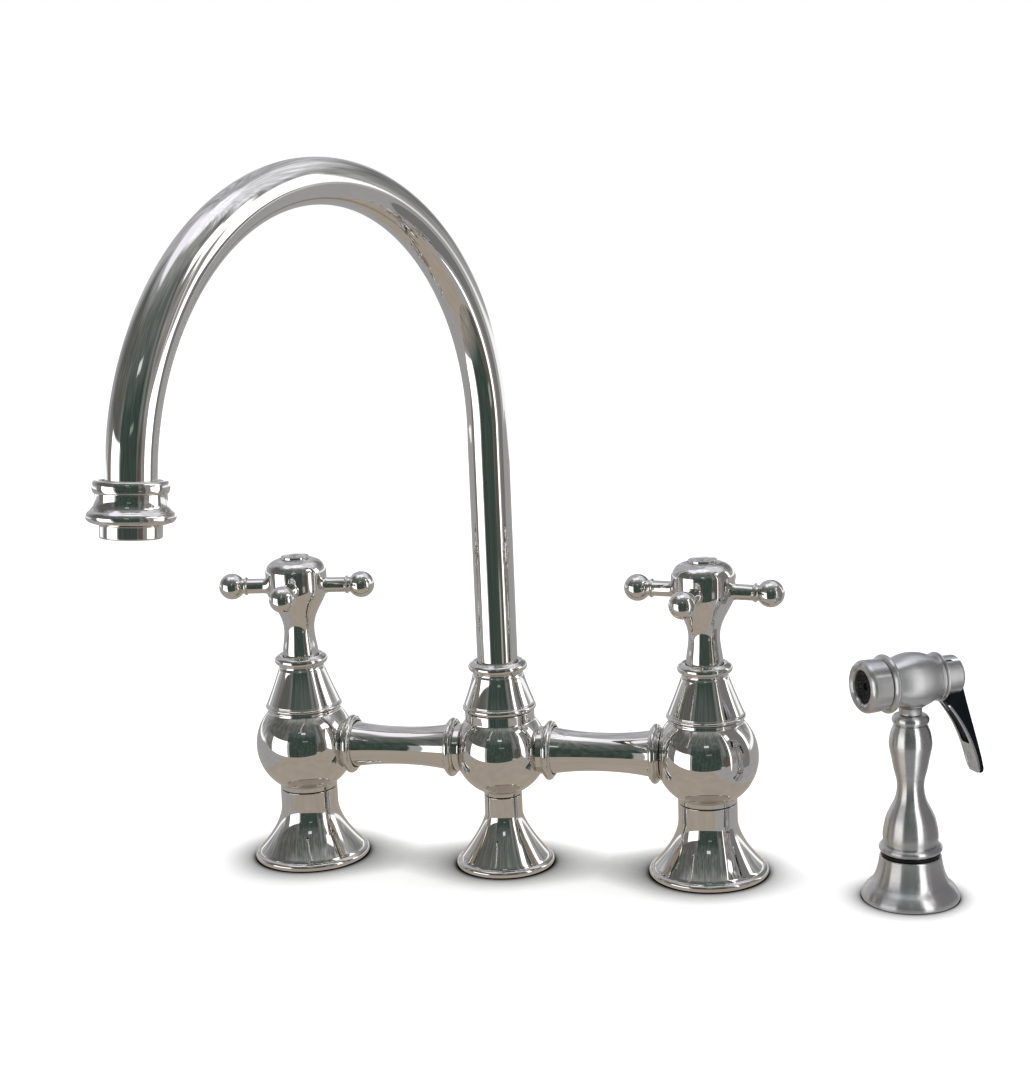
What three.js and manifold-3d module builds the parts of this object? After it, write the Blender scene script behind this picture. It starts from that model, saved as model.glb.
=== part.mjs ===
// Bridge kitchen faucet with a side spray, mounted through a worktop.
// Millimetres, +Z up, the user stands at -Y. The origin is on the worktop at the spout's axis.

import * as THREE from "three";
import { mergeVertices } from "three/addons/utils/BufferGeometryUtils.js";
import Module from "manifold-3d";

const wasm = await Module();
wasm.setup();

// ---- Driving dimensions ----

const GAP = 0.3; // clearance between pieces that seat on each other
const POST_SPACING = 101.6; // from the spout's axis to each valve's axis
const BRIDGE_HEIGHT = 58.7; // bridge axis above the worktop
const WORKTOP = 30; // thickness that the shanks clamp
const SHANK_DROP = 62; // shanks below the worktop's top face
const WASHER_THICKNESS = 2.5;
const NUT_HEIGHT = 8;

// Feet, which flare from a neck to a rounded rim.
const BODY_DROP = 23; // bridge axis down to the feet's tops
const FOOT_TOP = BRIDGE_HEIGHT - BODY_DROP;
const FOOT_SEAT = 4.4; // width of the flat ring that stands on the worktop
const FOOT_WALL = 2.4;
const RIM_HEIGHT = 2.2;
const RIM_STEP = 2.0;

// Valve posts.
const SIDE = {
  footRim: 28.9,
  footNeck: 14.3,
  neckLength: 8.7, // straight top of the foot
  footPower: 1.75, // how sharply the flare turns out to its rim
  ball: 24.9,
  collar: 18.0,
  collarHeight: 1.6,
  shank: 10.3,
  shankWall: 3.3,
  socket: 10, // how far a shank reaches up into its body
  waterway: 6,
  bonnetLip: 19.1,
  bonnetLipHeight: 1.9,
  bonnetShoulder: 18.4,
  bonnetThroat: 12.1,
  bonnetHeight: 27,
  bonnetPower: 1.1,
  beadRadius: 13.7,
};

// Centre post, which carries the spout.
const CENTRE = {
  footRim: 24.3,
  footNeck: 9.35,
  neckLength: 9.7,
  footPower: 1.36,
  ball: 22.9,
  collar: 17.0,
  collarHeight: 4.8,
  shank: 7,
  shankWall: 2.6,
  socket: 8,
  bonnetLip: 18.0,
  bonnetLipHeight: 3.0,
  bonnetShoulder: 17.3,
  bonnetThroat: 12.6,
  bonnetHeight: 24.5,
  bonnetPower: 1.2,
  beadRadius: 14.4,
};
const BEAD_TUBE = 2.4; // half height of the bonnets' top bead
const WASHER_MARGIN = 13; // washers beyond their shanks

// Bridge between the posts.
const NECK = 11.7; // body necks and bridge tube ends
const TUBE_WAIST = 9.4; // bridge tube's radius at mid-span
const UNION_OFFSET = 24.7; // union ring from the ball's centre
const UNION_RADIUS = 14.6;
const UNION_WIDTH = 4.4;
const BRIDGE_BORE = 7;

// Quarter-turn cartridges.
const CARTRIDGE = 10.3;
const CARTRIDGE_DROP = 6; // bridge axis down to the bottom of its bore
const CARTRIDGE_FLOOR = BRIDGE_HEIGHT - CARTRIDGE_DROP;
const HEX_ACROSS = 24;
const HEX_HEIGHT = 6.5;
const SLEEVE = 6.8;
const SLEEVE_DEPTH = 5.3; // sleeve's end below the bonnet's top
const DISC_RADIUS = 8.4;
const DISC_THICKNESS = 3;
const DISC_PORT = 2;
const PORT_PLACE = 4.6; // disc axis to each port's axis
const STEM = 3.9;
const STEM_FLANGE = 5;
const TAPPED_DEPTH = 12; // screw hole in the stem's end

// Cross handles.
const HANDLE_DIP = 1.9; // handle's end inside the bonnet
const HANDLE_STALK = 34.1; // handle's end to the hub's lower edge
const HANDLE_SKIRT = 8.8;
const HANDLE_WAIST = 7.55;
const HANDLE_COLLAR = 8.5;
const BELL_HEIGHT = 13.8; // flare under the hub
const HUB_RADIUS = 15.1;
const HUB_WALL = 10.6; // upright part of the hub
const DOME_RISE = 6.7;
const ARM_RISE = 2.6; // arms' axis above the hub's lower edge
const ARM_RADIUS = 3.75;
const ARM_BALL = 6.5;
const ARM_REACH = 32.6; // handle axis to the ball's centre
const BUTTON_RADIUS = 6.9;
const BUTTON_RISE = 0.6;
const STEM_REACH = 36; // stem above the handle's bottom
const SCREW_WEB = 6; // handle material under the screw's head
const SCREW_RADIUS = 2.2;
const SCREW_HEAD = 4.4;
const SCREW_HEAD_HEIGHT = 2.4;
const BUTTON_SPIGOT = 5.9; // part of the button inside the hub
const SPIGOT_DEPTH = 4;
const LEFT_TURN = 8.3; // degrees by which each cross stands off square
const RIGHT_TURN = -8.6;

// Swan-neck spout.
const TUBE = 9.85;
const TUBE_WALL = 1.6;
const SPOUT_RISE = 159.1; // bridge axis up to where the bend starts
const RISER_TOP = BRIDGE_HEIGHT + SPOUT_RISE;
const BEND_RADIUS = 117.6;
const OUTLET_DROP = 3.8; // straight end after the bend
const SPOUT_INSERT = 17.2; // tube inside the centre body
const SPOUT_TURN = 19.9; // degrees that the spout stands off the front, to the left
const SWIVEL_RING = 12.3;
const SWIVEL_RING_HEIGHT = 3;
const SWIVEL_RING_RISE = 7; // ring above the bonnet's base
const SEAL_THICKNESS = 2.6;
const SEAL_RISE = 8; // seal above the tube's end
const DIVERTER = 8;

// Aerator, whose heights count down from its top.
const AERATOR_RISE = 10; // above the bend's end
const AERATOR_HEIGHT = 21.7;
const AERATOR_RING = 14.8;
const AERATOR_WAIST = 13.1;
const AERATOR_FLANGE = 17.1;
const AERATOR_LIP = 12.1;
const AERATOR_LIP_HEIGHT = 5;
const AERATOR_BEAD = 2.6; // half height of the lower ring
const AERATOR_JET = 1.3;

// Side spray: holder in the worktop, and the wand that lifts out of it.
const SPRAY_X = 197.9;
const SPRAY_Y = -18.8;
const HOLDER_RIM = 22.6;
const HOLDER_TOP = 20.5;
const HOLDER_MOUTH = 14.15;
const HOLDER_SHANK = 13.5;
const HOLDER_BORE = 11;
const HOLDER_DROP = 55;
const HOLDER_FLOOR = 2; // ledge that the liner stands on
const LINER = 11.9;
const LINER_WALL = 2;
const LINER_LIP = 1.2;
const WAND_RING = 14.5;
const WAND_RING_HEIGHT = 3.8;
const UPPER_RING = 8.5;
const UPPER_RING_HEIGHT = 4.4;
const WAND_BOTTOM = 4;
const WAND_BORE = 3.5;
const GRIP = [
  [12.4, 0], // [radius, share of the length between the handle's rings]
  [12.6, 0.09],
  [9.6, 0.29],
  [6.2, 0.46],
  [7.6, 0.64],
  [9.8, 0.83],
  [7.6, 1],
];
const INLET_RADIUS = 7;
const INLET_LENGTH = 16;
const HEAD_HEIGHT = 103.3;
const HEAD_RISE = 15.9; // head axis above the handle's upper ring
const WAND_TOP = HEAD_HEIGHT - HEAD_RISE;
const HEAD_TURN = 214; // degrees from +X to the way the spray points
const HEAD_NECK = 5.2;
const HEAD_BARREL = 12.9;
const BARREL_FRONT = 11.3; // head axis to the barrel's ends
const BARREL_REAR = 11.5;
const HEAD_RING = 13.5;
const HEAD_REAR_RING = 11.2;
const NOSE = 12.1;
const NOSE_MOUTH = 7.5;
const NOSE_TIP = 25.8; // head axis to the nose's end
const CAP = 9.1;
const CAP_END = 23.9; // head axis to the rear cap's end
const LEVER_WIDTH = 8.6;
const LEVER_SLOT = 1; // side clearance in the cap
const LEVER_ROOM = 4; // room round the pin in the cap's slot
const LEVER_HOOK = [-17.3, -12.8]; // front line of the lever, as [from the head axis, height]
const LEVER_SWEEP = [-28.4, -32];
const LEVER_TIP = [-32.6, -45.2];
const LEVER_FACE = 18.2; // head axis back to the face that pushes the plunger
const LEVER_FACE_END = 10;
const LEVER_NOSE = 2.6; // lever's thickness at its tip
const PAD_HEIGHT = 12.2; // solid end of the plated strip
const FACING = 0.9; // thickness of the plated strip on the lever
const PIN_RADIUS = 1.2;
const PIN_BACK = 19.8;
const PIN_RISE = 4.2;
const PLUNGER = 2;
const SPRAY_HOLE = 0.8;

// Facets around turned pieces, by how large they are.
const LARGE = 16;
const MEDIUM = 12;
const SMALL = 10;
const FINE = 8;
const SPOUT_SIDES = 12;
const SPOUT_STEPS = 24;

// ---- Materials ----

const finish = (color, roughness, metalness) =>
  new THREE.MeshStandardMaterial({ color, roughness, metalness });
const chrome = finish(0xd4d2cf, 0.06, 1);
const brushedNickel = finish(0xaaa7a2, 0.32, 1);
const brass = finish(0xb8924e, 0.35, 1);
const steel = finish(0x9a9b9c, 0.4, 1);
const rubber = finish(0x17181a, 0.85, 0);
const blackPlastic = finish(0x111214, 0.18, 0);
const whiteCeramic = finish(0xe9e7e2, 0.3, 0);

// ---- Shape tools ----

const radians = THREE.MathUtils.degToRad;

// A solid turned about Z. Points are [radius, height], going up the outside and down the inside.
function turned(points, sides = LARGE) {
  const outline = points.map(([radius, height]) => new THREE.Vector2(radius, height));
  if (points[0][0] > 0) outline.push(outline[0].clone());
  return new THREE.LatheGeometry(outline, sides).rotateX(Math.PI / 2);
}

const rod = (radius, bottom, top, sides = SMALL) =>
  turned([[0, bottom], [radius, bottom], [radius, top], [0, top]], sides);

// Corner radius of a facetted hole whose flats lie at the radius that it has to clear.
const clearing = (radius, sides) => radius / Math.cos(Math.PI / sides);

const drill = (radius, bottom, top, sides = SMALL) =>
  rod(clearing(radius, sides), bottom, top, sides);

function pipe(radius, bore, bottom, top, sides = SMALL) {
  const inside = clearing(bore, sides);
  return turned([[radius, bottom], [radius, top], [inside, top], [inside, bottom]], sides);
}

// Turns a Z piece to lie along X, its top at the far end.
const alongX = (geometry) => geometry.rotateY(Math.PI / 2);

// Points of a round stretch about [0, height], from one angle above the horizontal to another.
function arc(radius, height, from, to, steps) {
  return Array.from({ length: steps + 1 }, (_, i) => {
    const angle = from + ((to - from) * i) / steps;
    return [radius * Math.cos(angle), height + radius * Math.sin(angle)];
  });
}

// A half-round bead that stands out from one radius to another, listed upwards.
function bead(inner, outer, middle, halfHeight, steps = 3) {
  return Array.from({ length: steps + 1 }, (_, i) => {
    const angle = Math.PI * (i / steps - 0.5);
    return [inner + (outer - inner) * Math.cos(angle), middle + halfHeight * Math.sin(angle)];
  });
}

// A trumpet curve from a wide point up to a narrow one, listed upwards.
function flare([wide, low], [narrow, high], power, steps) {
  return Array.from({ length: steps + 1 }, (_, i) => {
    const left = 1 - i / steps;
    return [narrow + (wide - narrow) * left ** power, high - (high - low) * left];
  });
}

function solidOf(geometry) {
  const bare = geometry.clone();
  bare.deleteAttribute("normal");
  bare.deleteAttribute("uv");
  const merged = mergeVertices(bare);
  const corners = merged.index.array;
  const kept = [];
  for (let i = 0; i < corners.length; i += 3) {
    const [a, b, c] = corners.slice(i, i + 3);
    if (a !== b && b !== c && c !== a) kept.push(a, b, c);
  }
  return new wasm.Manifold(
    new wasm.Mesh({
      numProp: 3,
      vertProperties: new Float32Array(merged.attributes.position.array),
      triVerts: new Uint32Array(kept),
    }),
  );
}

function geometryOf(solid) {
  const { vertProperties, triVerts } = solid.getMesh();
  const geometry = new THREE.BufferGeometry();
  geometry.setAttribute("position", new THREE.BufferAttribute(vertProperties, 3));
  geometry.setIndex(new THREE.BufferAttribute(triVerts, 1));
  geometry.computeVertexNormals();
  return geometry;
}

// Adds some shapes together and cuts others away.
function built(added, removed = []) {
  const whole = added.map(solidOf).reduce((sum, next) => sum.add(next));
  return geometryOf(removed.map(solidOf).reduce((rest, tool) => rest.subtract(tool), whole));
}

const faucet = new THREE.Group();

function piece(name, geometry, material, parent) {
  const mesh = new THREE.Mesh(geometry, material);
  mesh.name = name;
  parent.add(mesh);
  return mesh;
}

function groupAt(parent, x, y, z, turn = 0) {
  const group = new THREE.Group();
  group.position.set(x, y, z);
  group.rotation.z = radians(turn);
  parent.add(group);
  return group;
}

// ---- Posts ----

const bodyBottom = FOOT_TOP + GAP;
const ballTop = (post) => BRIDGE_HEIGHT + Math.sqrt(post.ball ** 2 - post.collar ** 2);
const collarTop = (post) => ballTop(post) + post.collarHeight;
const bonnetTop = (post) => collarTop(post) + GAP + post.bonnetHeight;
const shankTop = (post) => bodyBottom + post.socket - GAP;

function footShape(post) {
  const bore = clearing(post.shank + GAP, LARGE);
  const neckStart = FOOT_TOP - post.neckLength;
  const outside = flare(
    [post.footRim - RIM_STEP, RIM_HEIGHT + RIM_STEP * 0.8],
    [post.footNeck, neckStart],
    post.footPower,
    5,
  );
  const inside = flare(
    [post.footRim - FOOT_SEAT, 0],
    [bore, neckStart - FOOT_WALL],
    post.footPower,
    2,
  );
  return turned([
    [post.footRim, 0],
    [post.footRim, RIM_HEIGHT],
    [post.footRim - RIM_STEP * 0.4, RIM_HEIGHT + RIM_STEP * 0.45],
    ...outside,
    [post.footNeck, FOOT_TOP],
    [bore, FOOT_TOP],
    ...inside.reverse(),
  ]);
}

// The ball body's outside: a spigot that stands on the foot, the ball and a collar for the bonnet.
function ballShape(post) {
  return turned([
    [0, bodyBottom],
    [post.footNeck, bodyBottom],
    ...arc(
      post.ball,
      BRIDGE_HEIGHT,
      -Math.acos(post.footNeck / post.ball),
      Math.acos(post.collar / post.ball),
      8,
    ),
    [post.collar, collarTop(post)],
    [0, collarTop(post)],
  ]);
}

const bridgeNeck = () => alongX(rod(NECK, 0, UNION_OFFSET - GAP / 2, MEDIUM));
const bridgeWaterway = (from) => alongX(drill(BRIDGE_BORE, from, UNION_OFFSET + 1));

// The cavity is the room round what the bonnet hides, as [radius, height].
function bonnetShape(post, mouthRadius, [cavityRadius, cavityHeight]) {
  const mouth = clearing(mouthRadius, LARGE);
  const cavity = clearing(cavityRadius, LARGE);
  const bottom = collarTop(post) + GAP;
  const top = bonnetTop(post);
  const beadMiddle = top - BEAD_TUBE;
  const throatTop = beadMiddle - BEAD_TUBE;
  const bell = flare(
    [post.bonnetShoulder, bottom + post.bonnetLipHeight + 0.5],
    [post.bonnetThroat, throatTop - 2],
    post.bonnetPower,
    4,
  );
  const inside = flare([cavity, bottom + cavityHeight], [mouth, throatTop - 2], 1, 1);
  return turned([
    [post.bonnetLip, bottom],
    [post.bonnetLip, bottom + post.bonnetLipHeight],
    ...bell,
    ...bead(post.bonnetThroat, post.beadRadius, beadMiddle, BEAD_TUBE),
    [mouth + 1.4, top - 0.3],
    [mouth, beadMiddle],
    ...inside.reverse(),
    [cavity, bottom],
  ]);
}

function nutShape(bore, across, bottom, height) {
  const hexagon = rod(across / Math.sqrt(3), bottom, bottom + height, 6);
  return built([hexagon], [drill(bore, bottom - 1, bottom + height + 1)]);
}

// Threaded shank, with the washer and nut that clamp the worktop from below.
function clamping(name, post, parent) {
  const washerTop = -WORKTOP;
  const nutTop = washerTop - WASHER_THICKNESS - GAP;
  const bore = post.shank + GAP;
  const shank = pipe(post.shank, post.shank - post.shankWall, -SHANK_DROP, shankTop(post));
  piece(`${name}_shank`, shank, brass, parent);
  const washerRadius = post.shank + WASHER_MARGIN;
  const washer = pipe(washerRadius, bore, washerTop - WASHER_THICKNESS, washerTop, MEDIUM);
  piece(`${name}_washer`, washer, steel, parent);
  const nut = nutShape(bore, 3.1 * post.shank, nutTop - NUT_HEIGHT, NUT_HEIGHT);
  piece(`${name}_mounting_nut`, nut, brass, parent);
}

// ---- Valve posts with their cross handles ----

const discTop = CARTRIDGE_FLOOR + 2 * (GAP + DISC_THICKNESS);
const flangeTop = discTop + GAP + STEM_FLANGE;
const handleBottom = bonnetTop(SIDE) - HANDLE_DIP;
const stemTop = handleBottom + STEM_REACH;
const hubBottom = handleBottom + HANDLE_STALK;
const hubEdge = hubBottom + HUB_WALL;
const hubTop = hubEdge + DOME_RISE;
const sleeveTop = bonnetTop(SIDE) - SLEEVE_DEPTH;

function cartridgeShape() {
  const seat = collarTop(SIDE) + GAP;
  const bore = clearing(STEM + GAP, SMALL);
  const chamber = clearing(DISC_RADIUS + GAP, SMALL);
  const shell = turned(
    [
      [CARTRIDGE, CARTRIDGE_FLOOR + GAP],
      [CARTRIDGE, seat + 1],
      [SLEEVE, seat + 1],
      [SLEEVE, sleeveTop],
      [bore, sleeveTop],
      [bore, flangeTop + GAP],
      [chamber, flangeTop + GAP],
      [chamber, CARTRIDGE_FLOOR + GAP],
    ],
    SMALL,
  );
  const hexagon = nutShape(CARTRIDGE - 2, HEX_ACROSS, seat, HEX_HEIGHT);
  const keeper = pipe(CARTRIDGE - 1, STEM + GAP, seat, seat + HEX_HEIGHT);
  const outlet = alongX(drill(DISC_PORT + 1, 0, CARTRIDGE + 1, FINE));
  return built([shell, hexagon, keeper], [outlet.translate(0, 0, BRIDGE_HEIGHT)]);
}

// A lapped disc with two ports.
function discShape(bottom) {
  const top = bottom + DISC_THICKNESS;
  const ports = [-PORT_PLACE, PORT_PLACE].map((place) =>
    drill(DISC_PORT, bottom - 1, top + 1, FINE).translate(place, 0, 0),
  );
  return built([rod(DISC_RADIUS, bottom, top)], ports);
}

function stemShape() {
  const flangeBottom = discTop + GAP;
  const flange = rod(DISC_RADIUS, flangeBottom, flangeTop);
  const shaft = rod(STEM, flangeBottom, stemTop);
  return built(
    [flange, shaft],
    [drill(SCREW_RADIUS + GAP, stemTop - TAPPED_DEPTH, stemTop + 1, FINE)],
  );
}

function armShape() {
  const neck = ARM_RADIUS * 1.25;
  const ballNeck = Math.acos(neck / ARM_BALL);
  const arm = turned(
    [
      [0, HUB_RADIUS / 2],
      [neck, HUB_RADIUS / 2],
      [neck, HUB_RADIUS + 1.2],
      [ARM_RADIUS, HUB_RADIUS + 2],
      [ARM_RADIUS, ARM_REACH - ARM_BALL - 1.4],
      [neck, ARM_REACH - ARM_BALL - 0.6],
      ...arc(ARM_BALL, ARM_REACH, -ballNeck, Math.PI / 2, 3),
    ],
    FINE,
  );
  return alongX(arm);
}

function handleShape() {
  const dome = (width, rise) => [HUB_RADIUS * width, hubEdge + (hubTop - hubEdge) * rise];
  const hub = turned([
    [0, handleBottom],
    [HANDLE_SKIRT, handleBottom],
    [HANDLE_SKIRT, handleBottom + 5.5],
    [HANDLE_WAIST, handleBottom + 12],
    [HANDLE_WAIST, handleBottom + 16.4],
    [HANDLE_COLLAR, handleBottom + 17.6],
    [HANDLE_COLLAR, hubBottom - BELL_HEIGHT],
    [(HANDLE_COLLAR + HUB_RADIUS) / 2 + 0.6, hubBottom - BELL_HEIGHT / 2],
    [HUB_RADIUS, hubBottom],
    [HUB_RADIUS, hubEdge],
    dome(0.94, 0.45),
    dome(0.76, 0.84),
    [BUTTON_RADIUS + 0.6, hubTop],
    [0, hubTop],
  ]);
  const arms = [0, 90, 180, 270].map((turn) =>
    armShape().rotateZ(radians(turn)).translate(0, 0, hubBottom + ARM_RISE),
  );
  const headSeat = stemTop + GAP + SCREW_WEB;
  return built(
    [hub, ...arms],
    [
      drill(STEM + GAP, handleBottom - 1, stemTop + GAP),
      drill(SCREW_RADIUS + GAP, stemTop, headSeat + 1, FINE),
      drill(BUTTON_SPIGOT + GAP, headSeat, hubTop + 1),
    ],
  );
}

function buttonShape() {
  return turned(
    [
      [0, hubTop - SPIGOT_DEPTH],
      [BUTTON_SPIGOT, hubTop - SPIGOT_DEPTH],
      [BUTTON_SPIGOT, hubTop + GAP],
      [BUTTON_RADIUS, hubTop + GAP],
      [BUTTON_RADIUS * 0.7, hubTop + GAP + BUTTON_RISE],
      [0, hubTop + GAP + BUTTON_RISE],
    ],
    MEDIUM,
  );
}

function screwShape() {
  const seat = stemTop + 2 * GAP + SCREW_WEB;
  const thread = rod(SCREW_RADIUS, stemTop - TAPPED_DEPTH + 1, seat + 1, FINE);
  return built([thread, rod(SCREW_HEAD, seat, seat + SCREW_HEAD_HEIGHT, FINE)]);
}

function valvePost(name, x, facing, handleTurn) {
  const post = groupAt(faucet, x, 0, 0);
  piece(`${name}_foot`, footShape(SIDE), chrome, post);
  clamping(name, SIDE, post);

  const body = built(
    [ballShape(SIDE), bridgeNeck().translate(0, 0, BRIDGE_HEIGHT)],
    [
      drill(SIDE.shank + GAP, bodyBottom - 1, bodyBottom + SIDE.socket),
      drill(SIDE.waterway, bodyBottom, CARTRIDGE_FLOOR + 1),
      drill(CARTRIDGE + GAP, CARTRIDGE_FLOOR, collarTop(SIDE) + 1),
      bridgeWaterway(0).translate(0, 0, BRIDGE_HEIGHT),
    ],
  );
  piece(`${name}_valve_body`, body, chrome, post).rotation.z = radians(facing);
  const cartridge = piece(`${name}_cartridge`, cartridgeShape(), brass, post);
  cartridge.rotation.z = radians(facing);
  piece(`${name}_fixed_disc`, discShape(CARTRIDGE_FLOOR + GAP), whiteCeramic, post);
  const hexRoom = [HEX_ACROSS / Math.sqrt(3) + 1, HEX_HEIGHT + 1];
  piece(`${name}_bonnet`, bonnetShape(SIDE, HANDLE_SKIRT + GAP, hexRoom), chrome, post);

  const handle = groupAt(post, 0, 0, 0, handleTurn);
  const movingDisc = discShape(CARTRIDGE_FLOOR + 2 * GAP + DISC_THICKNESS);
  piece(`${name}_moving_disc`, movingDisc.rotateZ(Math.PI / 2), whiteCeramic, handle);
  piece(`${name}_stem`, stemShape(), brass, handle);
  piece(`${name}_handle`, handleShape(), chrome, handle);
  piece(`${name}_handle_screw`, screwShape(), steel, handle);
  piece(`${name}_index_button`, buttonShape(), chrome, handle);
}

// ---- Centre post and spout ----

const spoutBottom = collarTop(CENTRE) - SPOUT_INSERT;
const outletHeight = RISER_TOP - OUTLET_DROP;

function centrePost() {
  const post = groupAt(faucet, 0, 0, 0);
  piece("centre_foot", footShape(CENTRE), chrome, post);
  clamping("centre", CENTRE, post);

  const socketTop = bodyBottom + CENTRE.socket;
  const tubeBore = TUBE + GAP;
  const sealMiddle = spoutBottom + SEAL_RISE;
  const grooveRadius = clearing(tubeBore, MEDIUM) + SEAL_THICKNESS + GAP;
  const grooveHalf = SEAL_THICKNESS / 2 + GAP;
  const necks = [0, 180].map((turn) =>
    bridgeNeck().rotateZ(radians(turn)).translate(0, 0, BRIDGE_HEIGHT),
  );
  const body = built(
    [ballShape(CENTRE), ...necks],
    [
      drill(CENTRE.shank + GAP, bodyBottom - 1, socketTop),
      drill(DIVERTER + GAP, socketTop - 1, spoutBottom),
      drill(tubeBore, spoutBottom - GAP, collarTop(CENTRE) + 1, MEDIUM),
      drill(grooveRadius, sealMiddle - grooveHalf, sealMiddle + grooveHalf, MEDIUM),
      bridgeWaterway(-UNION_OFFSET - 1).translate(0, 0, BRIDGE_HEIGHT),
    ],
  );
  piece("centre_body", body, chrome, post);
  const seal = new THREE.TorusGeometry(
    clearing(tubeBore, MEDIUM) + SEAL_THICKNESS / 2,
    SEAL_THICKNESS / 2,
    6,
    MEDIUM,
  );
  piece("spout_seal", seal.translate(0, 0, sealMiddle), rubber, post);
  const diverter = turned(
    [
      [0, socketTop + GAP],
      [DIVERTER, socketTop + GAP],
      [DIVERTER, BRIDGE_HEIGHT - BRIDGE_BORE],
      [DIVERTER / 2, BRIDGE_HEIGHT - BRIDGE_BORE],
      [DIVERTER / 2, spoutBottom - 2 * GAP],
      [0, spoutBottom - 2 * GAP],
    ],
    SMALL,
  );
  piece("diverter", diverter, brass, post);
  const ringRoom = [SWIVEL_RING + GAP, SWIVEL_RING_RISE + SWIVEL_RING_HEIGHT + GAP];
  piece("centre_bonnet", bonnetShape(CENTRE, TUBE + GAP, ringRoom), chrome, post);
}

// The spout's centre line: a riser, a half circle towards the front and a short drop.
class SpoutLine extends THREE.Curve {
  getPoint(t, target = new THREE.Vector3()) {
    const riser = RISER_TOP - spoutBottom;
    const bend = Math.PI * BEND_RADIUS;
    const along = t * (riser + bend + OUTLET_DROP);
    if (along < riser) return target.set(0, 0, spoutBottom + along);
    const dropped = along - riser - bend;
    if (dropped > 0) return target.set(0, -2 * BEND_RADIUS, RISER_TOP - dropped);
    const angle = (along - riser) / BEND_RADIUS;
    const forward = BEND_RADIUS * (1 - Math.cos(angle));
    return target.set(0, -forward, RISER_TOP + BEND_RADIUS * Math.sin(angle));
  }
}

function spout() {
  const turning = groupAt(faucet, 0, 0, 0, -SPOUT_TURN);
  const section = new THREE.Shape().absarc(0, 0, TUBE, 0, 2 * Math.PI);
  section.holes.push(new THREE.Path().absarc(0, 0, TUBE - TUBE_WALL, 0, 2 * Math.PI, true));
  const tube = new THREE.ExtrudeGeometry(section, {
    steps: SPOUT_STEPS,
    curveSegments: SPOUT_SIDES / 2,
    bevelEnabled: false,
    extrudePath: new SpoutLine(),
  });
  piece("spout_tube", tube, chrome, turning);
  const ringBottom = collarTop(CENTRE) + GAP + SWIVEL_RING_RISE;
  const ringTop = ringBottom + SWIVEL_RING_HEIGHT;
  const swivelRing = pipe(SWIVEL_RING, TUBE + GAP, ringBottom, ringTop, MEDIUM);
  piece("spout_swivel_ring", swivelRing, brass, turning);

  const outlet = groupAt(turning, 0, -2 * BEND_RADIUS, 0);
  const top = RISER_TOP + AERATOR_RISE;
  const bottom = top - AERATOR_HEIGHT;
  const cavity = AERATOR_LIP - TUBE_WALL;
  const cavityTop = bottom + AERATOR_LIP_HEIGHT + 0.6;
  const flangeMiddle = bottom + AERATOR_LIP_HEIGHT + AERATOR_BEAD + 0.3;
  const bendSlack = (AERATOR_RISE + OUTLET_DROP) ** 2 / (2 * BEND_RADIUS); // the tube still bends
  const socket = clearing(TUBE + GAP, LARGE) + bendSlack;
  const housing = turned([
    [AERATOR_LIP, bottom],
    [AERATOR_LIP, bottom + AERATOR_LIP_HEIGHT],
    ...bead(AERATOR_LIP + 1.5, AERATOR_FLANGE, flangeMiddle, AERATOR_BEAD),
    [AERATOR_WAIST, flangeMiddle + AERATOR_BEAD + 1.5],
    [AERATOR_WAIST, top - 2 * BEAD_TUBE - 0.8],
    ...bead(AERATOR_WAIST, AERATOR_RING, top - BEAD_TUBE, BEAD_TUBE),
    [socket, top],
    [socket, outletHeight - GAP],
    [TUBE - TUBE_WALL, outletHeight - GAP],
    [TUBE - TUBE_WALL, cavityTop],
    [clearing(cavity, LARGE), cavityTop],
    [clearing(cavity, LARGE), bottom],
  ]);
  piece("aerator_housing", housing, chrome, outlet);
  const insertTop = cavityTop - GAP;
  const jet = () => drill(AERATOR_JET, bottom - 1, insertTop + 1, 6);
  const ring = [0, 60, 120, 180, 240, 300].map((turn) =>
    jet().translate(cavity * 0.6, 0, 0).rotateZ(radians(turn)),
  );
  const insert = built([rod(cavity - GAP, bottom + 0.7, insertTop)], [...ring, jet()]);
  piece("aerator_insert", insert, blackPlastic, outlet);
}

// ---- Bridge ----

function bridgeArm(name, side) {
  const inner = UNION_OFFSET + GAP / 2;
  const outer = POST_SPACING - UNION_OFFSET - GAP / 2;
  const middle = (inner + outer) / 2;
  const tube = turned(
    [
      [NECK, inner],
      [NECK, inner + 3],
      [(NECK + TUBE_WAIST) / 2 - 0.3, inner + 11],
      [TUBE_WAIST, middle],
      [(NECK + TUBE_WAIST) / 2 - 0.3, outer - 11],
      [NECK, outer - 3],
      [NECK, outer],
      [BRIDGE_BORE, outer],
      [BRIDGE_BORE, inner],
    ],
    MEDIUM,
  );
  const arm = groupAt(faucet, 0, 0, BRIDGE_HEIGHT, side < 0 ? 180 : 0);
  piece(`${name}_bridge_tube`, alongX(tube), chrome, arm);
  [["inner", UNION_OFFSET], ["outer", POST_SPACING - UNION_OFFSET]].forEach(([end, place]) => {
    const ring = turned(
      [
        ...bead(NECK + 1.4, UNION_RADIUS, place, UNION_WIDTH / 2),
        [clearing(NECK + GAP, MEDIUM), place + UNION_WIDTH / 2],
        [clearing(NECK + GAP, MEDIUM), place - UNION_WIDTH / 2],
      ],
      MEDIUM,
    );
    piece(`${name}_${end}_union`, alongX(ring), chrome, arm);
  });
}

// ---- Side spray ----

const linerTop = HOLDER_TOP + GAP + LINER_LIP;
const wandSeat = linerTop + GAP; // underside of the wand's ring

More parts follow.
